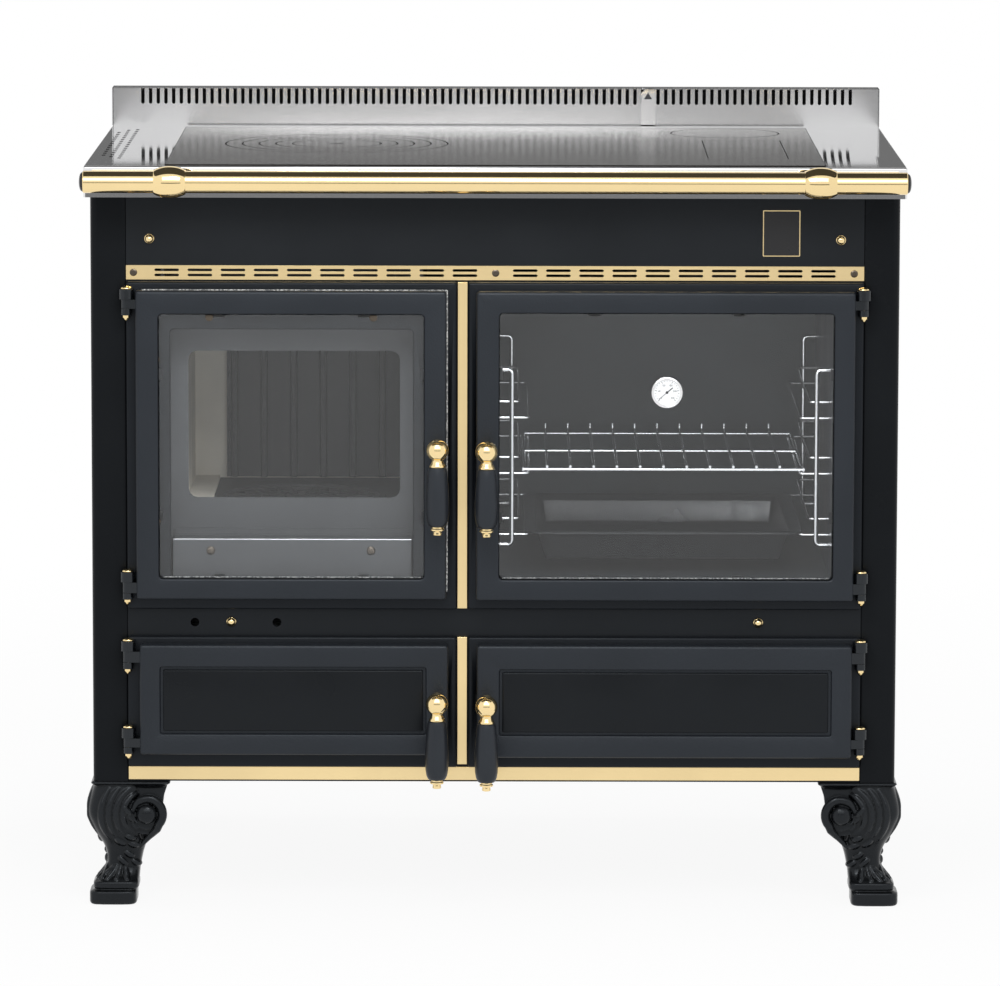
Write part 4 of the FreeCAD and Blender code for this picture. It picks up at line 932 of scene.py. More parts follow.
def build_glazed_doors():
    """Frames with a softened window edge, a rebate for the glass and a groove for the rope."""
    for name in ("fire", "oven"):
        front = FRONTS[name]
        outer, window = front["door"], front["window"]
        form = Form()
        rings = fillet(outer, 4.0, DOOR_FRONT, 4.0)
        rings += fillet(outer, 4.0, DOOR_REAR, 1.0, 2, back=True)
        for grow, y in ((10.8, DOOR_REAR), (10.8, DOOR_REAR - 5.7), (5.2, DOOR_REAR - 5.7),
                        (5.2, DOOR_REAR), (4.2, DOOR_REAR), (4.2, GLASS_FRONT),
                        (0.0, GLASS_FRONT), (0.0, DOOR_FRONT + 2.6), (0.5, DOOR_FRONT + 1.2),
                        (1.4, DOOR_FRONT + 0.4), (2.8, DOOR_FRONT)):
            rings.append(ring_at(window, 5.0, y, grow))
        form.skin(rings, closed=True)
        piece(f"{name}_door_casting", form, "cast", f"{name}_door", "cast_black",
              f"{name}_door")
        door_lugs(name, front)


def build_panel_doors():
    """Doors with a raised flat field in a sunk bed."""
    for name in ("ash", "store"):
        front = FRONTS[name]
        outer, panel = front["door"], front["panel"]
        form = Form()
        rings = [ring_at(panel, 3.0, y, grow) for grow, y in (
            (-3.9, DOOR_FRONT + 5.0), (-0.6, DOOR_FRONT + 5.0), (0.0, DOOR_FRONT + 4.2),
            (0.0, DOOR_FRONT + 1.8), (0.6, DOOR_FRONT + 0.6), (1.8, DOOR_FRONT))]
        rings += fillet(outer, 4.0, DOOR_FRONT, 4.0)
        rings += fillet(outer, 4.0, DOOR_REAR, 1.0, 2, back=True)
        rings += [ring_at(panel, 3.0, DOOR_REAR, -2.0), ring_at(panel, 3.0, DOOR_REAR - 7, -2.6)]
        form.skin(rings)
        piece(f"{name}_door_casting", form, "cast", f"{name}_door", "cast_black",
              f"{name}_door")
        field = Form()
        rings = fillet((panel[0] + 4, panel[1] - 4, panel[2] + 4, panel[3] - 4), 2.0,
                       DOOR_FRONT + 1.2, 1.4, 3)
        rings.append(ring_at(panel, 2.0, DOOR_FRONT + 5.2, -4.0))
        field.skin(rings)
        piece(f"{name}_door_panel", field, "panel", f"{name}_door", "cast_black")
        door_lugs(name, front)


def build_seals():
    """Rope round the back of each glazed door, the gasket along the foot of its glass, and a near-black ring
    over its window's reveal that is painted shade.
    """
    for name in ("fire", "oven"):
        front = FRONTS[name]
        door = f"{name}_door"
        path = [Vector((x, DOOR_REAR - 2.9, z)) for x, z in rounded(front["window"], 5.0, 8.0)]
        rope_ring(f"{name}_door_rope", path, 2.75, door, f"{name}_door_seal")
        left, right, low, _ = front["window"]
        gasket = Form()
        gasket.tube([(x, DOOR_REAR - 6.6, low + 0.4) for x in (left + 4, right - 4)], 1.2, 8)
        piece(f"{name}_glass_gasket", gasket, "rope_seal", door, "rope_seal", crease=60)
        # A near-black ring laid over each window's reveal: painted shade
        bead = Form()
        rings = [ring_at(front["window"], 5.0, y, grow) for y, grow in (
            (DOOR_REAR - 8.6, 0.1), (DOOR_REAR - 8.6, -0.3), (DOOR_FRONT + 2.6, -0.3),
            (DOOR_FRONT + 1.0, 0.1), (DOOR_FRONT + 2.6, 0.1))]
        bead.skin(rings, closed=True)
        piece(f"{name}_window_reveal_shade", bead, "reveal", door, "cast_black")


def build_fringe():
    """The rope's fibres that show beside the fire door, over its top and down its free edge."""
    left, right, low, high = FRONTS["fire"]["door"]
    y = DOOR_FRONT + 5.5
    path = [Vector((left + 8, y, high + 0.5)), Vector((right + 0.3, y, high + 0.5)),
            Vector((right + 0.8, y, high)), Vector((right + 0.8, y, low + 10))]
    form = Form()
    form.tube(path, 1.0, 8)
    piece("fire_door_fringe", form, "rope_seal", "fire_door", "rope_seal", crease=60)


def rope_ring(name, path, radius, body, *nodes):
    """A closed rope along an upright path."""
    form = Form()
    count = len(path)
    centre = sum(path, Vector()) / count
    rings = []
    for k, point in enumerate(path):
        along = (path[(k + 1) % count] - path[k - 1]).normalized()
        out = along.cross(AXES["Y"])
        if out.dot(point - centre) < 0:
            out = -out
        rings.append([point + out * (radius * math.cos(a)) + AXES["Y"] * (radius * math.sin(a))
                      for a in [2 * math.pi * i / 10 for i in range(10)]])
    form.skin(rings, closed=True)
    piece(name, form, "rope_seal", body, "rope_seal", *nodes, crease=60)


def build_trim():
    """Brass strips, nuts, vent strip and its screws, and the plain small plate."""
    vents = Form()
    half = POST_EDGE
    outlines = [rounded((-half, half, 776.0, 793.5), 0.6)]
    for pair in range(10):
        for side in (-1, 1):
            middle = side * (36.8 + 40.4 * pair)
            for level in (VENT_LEVEL - 3.15, VENT_LEVEL + 3.15):
                outlines.append(level_slot(middle - 15, middle + 15, level, 3.2))
    vents.plate(outlines, BRASS_FRONT, BODY_FRONT)
    piece("vent_strip_brass", vents, "brushed_brass", "cabinet", "brushed_brass", "vent_strip",
          bevel=0.3)
    strips = Form()
    strips.block(-half, half, BRASS_FRONT, BODY_FRONT, 157.0, 173.5)
    for low, high in ((372.0, 774.0), (178.0, 336.5)):
        strips.block(-45.4, -33.4, BODY_FRONT - 8.5, BODY_FRONT, low, high)
    piece("brass_strips", strips, "brushed_brass", "cabinet", "brushed_brass",
          "brass_trim_strips", bevel=0.5)
    nuts = Form()
    for x, z in ((-421.5, 826.0), (421.5, 826.0), (-323.0, 353.8), (324.0, 353.8)):
        profile = [(6.2, 0), (6.2, 1.6), (5.6, 2.4)] + dome(5.2, 2.6, 4.9)
        nuts.lathe(profile, (x, BODY_FRONT, z), "-Y", 28)
    piece("acorn_nuts", nuts, "brass", "cabinet", "polished_brass", "front_fasteners")
    screws = Form()
    for x in (-441.0, 0.7, 438.0):
        screws.lathe([(4.6, 0), (4.3, 1.3), (3.2, 2.0), (2.3, 2.0), (2.0, 0.6), (0, 0.6)],
                     (x, BRASS_FRONT, VENT_LEVEL), "-Y", 24)
    piece("vent_strip_screws", screws, "dark_screw", "cabinet", "polished_brass")
    plate = Form()
    plate.skin([ring_at((325.5, 372.5, 805.0, 863.0), 1.0, y) for y in (BODY_FRONT, BODY_FRONT - 0.8)])
    piece("corner_plate", plate, "cap", "cabinet", "black_enamel")
    border = Form()
    outline = (326.3, 371.7, 805.8, 862.2)
    border.plate([rounded(outline, 1.0), rounded(outline, 1.0, -1.1)],
                 BODY_FRONT - 1.1, BODY_FRONT - 0.7)
    piece("corner_plate_border", border, "brushed_brass", "cabinet", "brushed_brass")


# ---------------------------------------------------------------- handles

# The ball with its neck, collar and end button, the spindle, and the grip, each as (radius, along)
HANDLE_NECK = (
    (6.9, 12.4), (6.9, 13.3), (7.6, 15.2), (8.8, 17.2), (9.7, 18.8), (9.7, 20.3), (9.3, 20.6), (3.0, 20.6),
    (3.0, 93.4), (6.8, 93.5), (7.0, 94.3), (7.0, 95.4), (8.2, 96.2), (8.4, 97.2), (8.2, 98.2), (5.6, 98.9),
    (4.9, 99.8), (5.3, 102.4), (5.3, 103.6), (4.4, 104.3), (0.0, 104.5),
)
HANDLE_SPINDLE = (
    (4.6, 8), (4.6, 25), (5.4, 28), (8.2, 31), (9.0, 33), (9.0, 34.7), (3.5, 34.7), (3.5, 58.6), (0.0, 58.7),
)
HANDLE_GRIP = (
    (3.2, 20.6), (9.6, 20.7), (10.8, 21.6), (11.5, 24.0), (12.6, 33.0), (13.7, 46.0), (14.3, 60.0),
    (14.4, 72.0), (13.9, 81.0), (12.7, 88.0), (11.2, 91.6), (9.6, 93.2), (8.6, 93.5), (3.2, 93.5),
)
BALL_RADIUS = 13.5


def build_handles():
    """Each door's ball handle with its hanging grip and the latch tongue on its spindle."""
    ball = [(BALL_RADIUS * math.cos(math.radians(a)), BALL_RADIUS * math.sin(math.radians(a)))
            for a in range(-90, 58, 7)]
    for name, front in FRONTS.items():
        x, z = front["handle"]
        side = front["side"]
        centre = (x, HANDLE_Y, z)
        form = Form()
        form.lathe(ball + list(HANDLE_NECK), centre, "-Z", 44)
        form.lathe(HANDLE_SPINDLE, centre, "Y", 28)
        body = f"{name}_handle"
        piece(f"{name}_handle_brass", form, "brass", body, "polished_brass", f"{name}_handle")
        latch = Form()
        latch.block(*sorted((x, x - side * 12)), -299.3, -294.3, z - 3, z + 3)
        piece(f"{name}_latch_tongue", latch, "sheet", body, "zinc_steel", bevel=0.8)
        sleeve = Form()
        sleeve.lathe(HANDLE_GRIP, centre, "-Z", 44, closed=True)
        piece(f"{name}_grip_sleeve", sleeve, "grip", body, "black_grip", f"{name}_handle_grip")


# ---------------------------------------------------------------- towel rail

def build_rail():
    """The tube, the two barrel balls on their stems, and the domed end caps."""
    y, z, half, bracket = -360.0, 901.5, 497.6, 393.0
    end = 2 * half
    tube = Form()
    tube.lathe([(13.5, 0.8), (12.9, 0), (12.0, 0), (12.0, end), (12.9, end), (13.5, end - 0.8)],
               (-half, y, z), "X", 64, closed=True)
    piece("towel_rail_tube", tube, "brass", "cabinet", "polished_brass", "towel_rail")
    brackets = Form()
    for side in (-1, 1):
        centre = (side * bracket, y, z)
        ball = [(13.6, -19.3), (14.6, -19.3)]
        ball += [(19.5 - 4.6 * (abs(t) / 19.0) ** 2.2, t) for t in range(-19, 20)]
        ball += [(14.6, 19.3), (13.6, 19.3)]
        brackets.lathe(ball, centre, "X", 56, closed=True)
        stem = [(8.5, 17), (8.5, 30), (9.6, 34), (12.6, 37), (14, 38.2), (14, 40)]
        brackets.lathe(stem, centre, "Y", 32)
    piece("rail_bracket_pair", brackets, "brass", "cabinet", "polished_brass", "rail_brackets")
    caps = Form()
    for side, axis in ((-1, "-X"), (1, "X")):
        profile = [(11.9, -8), (11.9, 0.3), (11.7, 1.2)] + dome(11.3, 1.4, 3.5)
        caps.lathe(profile, (side * half, y, z), axis, 48)
    piece("rail_cap_pair", caps, "cap", "cabinet", "black_cap", "rail_end_caps")


# ---------------------------------------------------------------- top

# Rows of small air slots as (x, first y, how many)
SMALL_SLOTS = ((-462.4, -206.0, 16), (-473.4, -188.0, 15), (-484.0, -166.0, 13))


def build_worktop():
    """Steel skin with rounded edges, its small air slots, and the rim round the hotplate."""
    form = Form()
    half, front, rear, low = 500.0, -320.0, BODY_REAR, 879.0
    soft = 2.5
    outer = (-half, half, front, rear)
    flat = -soft - 0.8
    underside = WORKTOP_TOP - STEEL
    rings = [[(x, y, WORKTOP_TOP) for x, y in rounded(outer, 3.0, flat)]]
    for i in range(6):
        turn = math.pi / 2 * i / 5
        rings.append([(x, y, WORKTOP_TOP - soft * (1 - math.cos(turn)))
                      for x, y in rounded(outer, 3.0, -soft * (1 - math.sin(turn)))])
    skirt = (-half, half, front, rear - 2.2)
    for z, grow in ((WORKTOP_TOP - soft, 0.0), (low, 0.0), (low, -STEEL)):
        rings.append([(x, y, z) for x, y in rounded(skirt, 3.0, grow)])
    rings.append([(x, y, underside) for x, y in rounded(outer, 3.0, -STEEL)])
    form.skin(rings, caps=False)
    well = (-402.4, 402.4, -303.4, 257.4)
    holes = []
    for x, first, count in SMALL_SLOTS:
        for k in range(count):
            y = first + 28.0 * k
            holes.append(slot_hole(x, y - 6.5, y + 6.5, 4.6, 3))
    holes.append(rounded((188.5, 208.1, 275.8, 279.8), 0.5))
    form.cover([rounded(outer, 3.0, flat), rounded(well, 1.0)],
               [rounded(outer, 3.0, -STEEL), rounded(well, 1.0, STEEL)], holes, WORKTOP_TOP, underside)
    ledge = [(STEEL, underside), (STEEL, 906.5), (-8.0, 906.5), (-8.0, 908.0), (0.0, 908.0),
             (0.0, WORKTOP_TOP)]
    form.skin([[(x, y, z) for x, y in rounded(well, 1.0, grow)] for grow, z in ledge], caps=False)
    piece("worktop_skin", form, "steel", "cabinet", "stainless", "worktop", crease=30)


def comb(half, low, high, first, count, pitch, width, depth):
    """A strip's outline whose upper edge is notched by slots with round bottoms."""
    points = [(-half, low), (half, low), (half, high)]
    for number in reversed(range(count)):
        x = first + pitch * number
        r = width / 2
        points.append((x + r, high))
        points += arc((x, high - depth + r), r, 0, -180, 6)
        points.append((x - r, high))
    points.append((-half, high))
    return points


def build_splashback():
    """Upstand whose slots run up its face and over its top edge."""
    half, front, rear, low, top = 499.0, 280.0, BODY_REAR, WORKTOP_TOP, 966.0
    inner, under, slot_end = half - 1, top - STEEL, 945.5
    form = Form()
    slots = dict(first=-459.0, count=93, pitch=10.0, width=4.5)
    form.plate([comb(inner, low, top, depth=top - slot_end, **slots)], front, front + STEEL)
    shelf = comb(inner, -rear, -front - STEEL, depth=9.0, **slots)
    form.plate([[(x, -y) for x, y in shelf]], under, top, axis="Z")
    form.plate([[(-inner, low), (inner, low), (inner, under), (-inner, under)]], rear - STEEL, rear)
    for side in (-1, 1):
        form.block(*sorted((side * half, side * (half - STEEL))), front, rear, low, top)
    piece("splashback_sheet", form, "splash_steel", "cabinet", "stainless", "splashback", crease=30)
    # A near-black sheet behind the upstand's slots: painted shadow inside the upstand
    liner = Form()
    liner.block(-half + 20, half - 20, front + 12, front + 13, low + 1, top - 3)
    piece("splashback_shadow_sheet", liner, "shadow", "cabinet", "stainless")
    mark = Form()
    mark.plate([[(192.6, 953.0), (203.4, 953.0), (198.0, 961.5)]], 276.1, 276.4)
    piece("damper_mark", mark, "ink", "damper_lever", "stainless")


def ring_profile(outer, inner, low=910.0, high=PLATE_TOP, soft=0.8):
    """Section of a hob ring: both sides lean in downwards, its upper edges softened."""
    taper = 4.0
    points = [(outer - taper, low), (outer - 0.2, high - soft), (outer - soft - 0.2, high)]
    if inner:
        points += [(inner + soft, high), (inner, high - soft), (inner - taper, low)]
    else:
        points += [(0.0, high), (0.0, low)]
    return points


def ground_casting(form, node, body):
    """A piece of the hotplate, bright where it is ground level and dark as a joint elsewhere."""
    made = piece(f"{node}_casting", form, "hotplate", body, "hotplate_iron", node, crease=30)
    made.data.materials.append(FINISHES["joint"])
    for polygon in made.data.polygons:
        if abs(polygon.normal.z) < 0.95:
            polygon.material_index = 1


def build_hotplate():
    """Ground plate with softened openings, and its loose rings and lids."""
    centre = (-200.0, 0.0)
    flue = (294.0, 166.0)
    hatch = (262.0, 360.0, -206.0, 55.0)
    hatch_middle = ((hatch[0] + hatch[1]) / 2, (hatch[2] + hatch[3]) / 2)
    edge = (-402.0, 402.0, -303.0, 257.0)
    form = Form()

    def openings(grow):
        return [arc(centre, 140.0 + grow, 0, 357, 119), arc(flue, 69.5 + grow, 0, 355, 71),
                rounded(hatch, 1.0, grow)]

    soft = 0.8
    form.plate([rounded(edge, 3.0, -soft)] + openings(soft), PLATE_TOP - 9.4, PLATE_TOP, axis="Z")
    form.skin([[(x, y, z) for x, y in rounded(edge, 3.0, g)]
               for z, g in ((PLATE_TOP, -soft), (PLATE_TOP - soft, 0.0), (908.0, 0.0))], caps=False)
    taper = 0.965
    middles = ((centre, taper), (flue, taper), (hatch_middle, 1.0))
    for hole, (middle, share) in zip(openings(0.0), middles):
        rings = [[(x, y, PLATE_TOP - soft) for x, y in hole]]
        rings.append([(middle[0] + (x - middle[0]) * share, middle[1] + (y - middle[1]) * share, 908.5)
                      for x, y in hole])
        form.skin(rings, caps=False)
    ground_casting(form, "hotplate", "cabinet")
    radii = (139.7, 118.7, 97.7, 76.7, 55.7)
    for number, (outer, inner) in enumerate(zip(radii, radii[1:]), 1):
        ring = Form()
        ring.lathe(ring_profile(outer, inner + 0.3), (*centre, 0), steps=120, closed=True)
        ground_casting(ring, f"hob_ring_{number}", f"hob_ring_{number}")
    lid = Form()
    lid.lathe(ring_profile(radii[-1], 0), (*centre, 0), steps=96)
    ground_casting(lid, "hob_centre_lid", "hob_centre_lid")
    # A near-black patch in the shape of the lid's lifter slot, which is not cut: painted shadow
    lifter = Form()
    slot = (centre[0] - 9, centre[0] + 9, -3.5, 3.5)
    lifter.plate([rounded(slot, 3.4)], PLATE_TOP - 0.2, PLATE_TOP + 0.02, axis="Z")
    piece("hob_lifter_slot_shade", lifter, "shadow", "hob_centre_lid", "hotplate_iron")
    cover = Form()
    cover.lathe(ring_profile(69.2, 0), (*flue, 0), steps=96)
    ground_casting(cover, "flue_lid", "flue_lid")
    dress("soot_hatch", "hotplate")


# ---------------------------------------------------------------- fire and oven

def build_fire():
    """The grate in its floor plate, a grey metal wire on the ember guard's top edge that paints a highlight
    along it, and the screws of guard and clips.
    """
    centre, floor_plate = (-244.0, -80.0), (-352.0, -112.0, -237.0, 98.0)
    form = Form()
    holes = []
    for number in range(12):
        for inner, outer, share in ((20, 50, 0.5), (58, 92, 0.6)):
            middle = 30 * number
            half = share * 15
            hole = arc(centre, outer, middle - half, middle + half, 4)
            hole += arc(centre, inner, middle + half, middle - half, 3)
            holes.append(hole)
    form.plate([rounded(floor_plate, 1.0)] + holes, 470.5, 480.0, axis="Z")
    form.lathe([(109, 479.5), (108, 483), (99, 483), (97, 479.5)], (*centre, 0), steps=64, closed=True)
    piece("fire_grate_casting", form, "dark_iron", "cabinet", "fire_iron", "fire_grate", bevel=0.6)
    screws = Form()
    for x in (-348.0, -151.5):
        screws.lathe([(5.4, 0), (5.2, 1.2), (4.0, 2.2), (2.0, 2.4), (1.8, 1.2), (0, 1.2)],
                     (x, BODY_FRONT + 1, 442.0), "-Y", 24)
    piece("ember_guard_screws", screws, "dark_screw", "cabinet", "zinc_steel")
    clips = Form()
    on_glass = GLASS_FRONT - 0.2
    for x in (-348.0, -148.0):
        clips.lathe([(5.0, 0), (4.8, 1.2), (3.6, 2.0), (0, 2.2)], (x, on_glass, 732.0), "-Y", 20)
    for z in (680.0, 481.0):
        clips.lathe([(3.0, 0), (2.8, 1.2), (0, 1.8)], (-411.0, on_glass, z), "-Y", 16)
    piece("fire_clip_screws", clips, "dark_screw", "fire_door", "zinc_steel")
    # A thin metal wire along the ember guard's top edge: a painted highlight on that edge
    edge = Form()
    edge.tube([(x, BODY_FRONT + 2.0, 455.7) for x in (-394, -102)], 1.2, 8)
    piece("ember_guard_highlight_wire", edge, "sheet", "cabinet", "zinc_steel")


def build_oven():
    """Chromed racks and shelf of round wire, and the pressed tray."""
    walls = ((4.0, 1), (413.0, -1))
    paths = []
    for wall, inward in walls:
        stem = wall + inward * 17
        for y in (-244.7, 122.7):
            paths.append([(wall, y, 661), (stem, y, 661), (stem, y, 444), (wall, y, 444)])
    wires("rack_uprights", paths, 3.0, 6.0, "chrome", "cabinet", "oven_wire", "side_racks")
    paths = []
    for wall, inward in walls:
        for level in (466.0, 542.0, 611.0):
            for z, reach in ((level - 10, 38), (level + 10, 26)):
                inner = wall + inward * reach
                paths.append([(wall, -240, z), (inner, -240, z), (inner, 118, z), (wall, 118, z)])
    wires("rack_rungs", paths, 1.7, 6.0, "chrome", "cabinet", "oven_wire")
    x0, x1, y0, y1, z = 36.0, 380.0, -235.0, 115.0, 536.2
    paths = [[(x, y0, z), (x, y1, z)] for x in (x0, x1)]
    paths += [[(x0, y, z), (x1, y, z)] for y in (y0, (y0 + y1) / 2, y1 - 2.4)]
    wires("shelf_frame", paths, 2.4, 5.0, "chrome", "oven_shelf", "oven_wire", "oven_shelf")
    paths = []
    for number in range(11):
        x = x0 + (x1 - x0) / 12 * (number + 1)
        paths.append([(x, y0 - 2.4, z + 3.7), (x, y1 - 2.4, z + 3.7), (x, y1 - 2.4, z + 13)])
    wires("shelf_bars", paths, 1.7, 5.0, "chrome", "oven_shelf", "oven_wire")
    tray = Form()
    rim = (36.0, 380.0, -245.0, 110.0)
    top, low = 459.2, 421.2
    sections = ((458.2, 0.0), (458.0, -0.6), (458.0, -13.0), (456.6, -15.6), (450.0, -18.0),
                (low + 5, -26.0), (low + 1.2, -28.0), (low, -32.0), (low, -60.0))
    upper = [(z + 1.0, grow - 0.6 * min(1, abs(grow) / 10)) for z, grow in sections[::-1]]
    rings = [[(x, y, z) for x, y in rounded(rim, 22.0 if grow > -10 else 30.0, grow)]
             for z, grow in list(sections) + upper]
    tray.skin(rings[:len(sections)][::-1] + [[(x, y, top) for x, y in rounded(rim, 22.0, 0.0)]]
              + rings[len(sections):][::-1])
    piece("baking_tray_pressing", tray, "tray", "baking_tray", "tray_enamel", "baking_tray",
          crease=50)
    bead = Form()
    level, wide, tall = 457.6, 1.9, 1.5
    rings = []
    for x, y in rounded(rim, 22.0, -wide):
        point = Vector((x, y, level))
        out = (point - Vector((208, -67, level))).normalized()
        rings.append([point + out * (wide * math.cos(a)) + AXES["Z"] * (tall * math.sin(a))
                      for a in [math.pi * i / 5 for i in range(10)]])
    bead.skin(rings, closed=True)
    piece("baking_tray_rim", bead, "tray", "baking_tray", "tray_enamel")


def build_thermometer():
    """White dial in a polished bezel, with plain numbers, ticks and a dark needle."""
    x, z, front = 210.0, 641.0, -309.0
    rim = Form()
    rim.lathe([(0.0, 34), (3.0, 34), (3.0, 7), (17.0, 7), (17.0, 0), (19.6, 0), (19.6, -3.2),
               (18.8, -4.4), (17.4, -4.9), (16.6, -4.4), (16.4, -2.0), (0.0, -2.0)],
              (x, front, z), "Y", 56)
    piece("thermometer_case", rim, "chrome", "oven_door", "dial", "oven_thermometer")
    face = Form()
    face.lathe([(0, -2.1), (16.3, -2.1), (16.3, -2.3), (0, -2.3)], (x, front, z), "Y", 48)
    piece("thermometer_face", face, "dial", "oven_door", "dial")
    marks = Form()
    y0, y1 = front - 2.55, front - 2.32
    for k in range(21):
        turn = math.radians(225 - 13.5 * k)
        inner, width = (13.2, 0.3) if k % 4 else (12.2, 0.5)
        marks.plate([spoke(x, z, turn, inner, 15.0, width)], y0, y1)
    marks.plate([spoke(x, z, math.radians(220), -8.5, 13.0, 0.45)], y0 - 0.5, y1 - 0.3)
    marks.plate([spoke(x, z, math.radians(40), 2.0, 9.0, 1.0)], y0 - 0.5, y1 - 0.3)
    marks.lathe([(0, -3.2), (1.5, -3.2), (1.7, -2.4), (0, -2.4)], (x, front, z), "Y", 20)
    piece("thermometer_needle", marks, "ink", "oven_door", "dial")
    number_ring = 9.6
    for k in range(6):
        turn = math.radians(225 - 54 * k)
        text = bpy.data.curves.new("dial_number", "FONT")
        text.body = str(60 * k)
        text.size = 3.1 * MM
        text.extrude = 0.08 * MM
        text.align_x = "CENTER"
        text.align_y = "CENTER"
        made = bpy.data.objects.new(f"dial_number_{k}", text)
        made.location = ((x + number_ring * math.cos(turn)) * MM, y1 * MM,
                         (z + number_ring * math.sin(turn)) * MM)
        made.rotation_euler = (math.pi / 2, 0, 0)
        settle(made, "ink", "oven_door")


def spoke(x, z, turn, inner, outer, width):
    """A thin bar that points out from the dial's centre."""
    c, s = math.cos(turn), math.sin(turn)
    half = width / 2
    corners = ((inner, -half), (outer, -half), (outer, half), (inner, half))
    return [(x + r * c - w * s, z + r * s + w * c) for r, w in corners]


# ---------------------------------------------------------------- stage

def sky(world):
    """White for the camera, for gloss and through glass; softer even light on matt surfaces."""
    world.use_nodes = True
    tree = world.node_tree
    tree.nodes.clear()
    seen = add(tree, "ShaderNodeBackground", {"Color": (1, 1, 1, 1), "Strength": 1.0})
    even = add(tree, "ShaderNodeBackground", {"Color": (0.96, 0.98, 1.0, 1), "Strength": 0.5})
    final = add(tree, "ShaderNodeMixShader", {0: straight_rays(tree), 1: even.outputs[0],
                                              2: seen.outputs[0]})
    out = add(tree, "ShaderNodeOutputWorld")
    tree.links.new(final.outputs[0], out.inputs["Surface"])


def straight_rays(tree):
    """1 for rays from the camera, off gloss or through glass, else 0."""
    seen = add(tree, "ShaderNodeLightPath").outputs
    gloss = add(tree, "ShaderNodeMath", {0: seen["Is Camera Ray"], 1: seen["Is Glossy Ray"]},
                operation="MAXIMUM")
    return add(tree, "ShaderNodeMath", {0: gloss.outputs[0], 1: seen["Is Transmission Ray"]},
               operation="MAXIMUM").outputs[0]


def floor_finish():
    """Pale floor, near white to the camera, with a soft shadow that fades out to pure white."""
    material, tree, surface = shader("pale_floor", roughness=0.8)
    surface.inputs["Base Color"].default_value = (0.9, 0.9, 0.9, 1)
    where = add(tree, "ShaderNodeTexCoord").outputs["Object"]
    away = add(tree, "ShaderNodeVectorMath", {0: where}, operation="LENGTH").outputs["Value"]
    pale = add(tree, "ShaderNodeMapRange", {"Value": away, "From Min": 0.7, "From Max": 2.6,
                                            "To Min": 0.92, "To Max": 1.0}).outputs[0]
    glow = add(tree, "ShaderNodeEmission", {"Color": (1, 1, 1, 1), "Strength": 1.0})
    share = add(tree, "ShaderNodeMath", {0: straight_rays(tree), 1: pale}, operation="MULTIPLY")
    mix = add(tree, "ShaderNodeMixShader",
              {0: share.outputs[0], 1: surface.outputs[0], 2: glow.outputs[0]})
    tree.links.new(mix.outputs[0], tree.nodes["Material Output"].inputs["Surface"])
    return material


def flag(name, half, along, up, shade):
    """A dark studio flag that only gloss sees, so polished metal has its dark bands."""
    material = bpy.data.materials.new(name)
    material.use_nodes = True
    tree = material.node_tree
    tree.nodes.clear()
    dark = add(tree, "ShaderNodeEmission", {"Color": (shade, shade, shade, 1), "Strength": 1.0})
    out = add(tree, "ShaderNodeOutputMaterial")
    tree.links.new(dark.outputs[0], out.inputs["Surface"])
    mesh = bpy.data.meshes.new(name)
    corners = [(-half, along[0], up[0]), (half, along[0], up[0]), (half, along[1], up[1]),
               (-half, along[1], up[1])]
    mesh.from_pydata(corners, [], [(0, 1, 2, 3)])
    mesh.materials.append(material)
    made = bpy.data.objects.new(name, mesh)
    for kind in ("camera", "diffuse", "transmission", "shadow"):
        setattr(made, f"visible_{kind}", False)
    bpy.context.scene.collection.objects.link(made)


def lamp(name, place, target, size, power, in_gloss):
    """A soft rectangular lamp turned to its target."""
    data = bpy.data.lights.new(name, "AREA")
    data.shape = "RECTANGLE"
    data.size, data.size_y = size
    data.energy = power
    made = bpy.data.objects.new(name, data)
    made.location = place
    made.rotation_euler = (Vector(target) - Vector(place)).to_track_quat("-Z", "Y").to_euler()
    made.visible_glossy = in_gloss
    bpy.context.scene.collection.objects.link(made)


# Flags as name, half width, (near, far), (low, high) and shade
FLAGS = (
    ("flag_above", 2.0, (-1.1, 1.3), (2.4, 2.4), 0.06),
    ("flag_behind", 3.0, (3.0, 3.0), (1.0, 1.9), 0.17),
    ("flag_front", 2.4, (-4.0, -4.0), (0.44, 0.9), 0.22),
)
# Lamps as name, place, target, size, power, and whether gloss shows them
LAMPS = (
    ("soft_key", (-0.08, -1.15, 1.45), (-0.05, -0.3, 0.6), (0.6, 0.32), 5.5, True),
    ("soft_front", (0.0, -3.6, 2.9), (0, 0, 0.6), (4.2, 1.8), 42.0, True),
    ("soft_low", (0.0, -3.9, 0.8), (0, 0, 0.5), (2.6, 0.6), 16.0, False),
    ("soft_side", (2.6, -2.6, 1.8), (0, 0, 0.5), (1.6, 1.6), 14.0, False),
    ("soft_top", (0.0, 0.2, 3.4), (0, 0, 0.9), (2.2, 1.6), 34.0, False),
)
FLOOR_REACH = 3.2
FLOOR_DROP = 0.0005


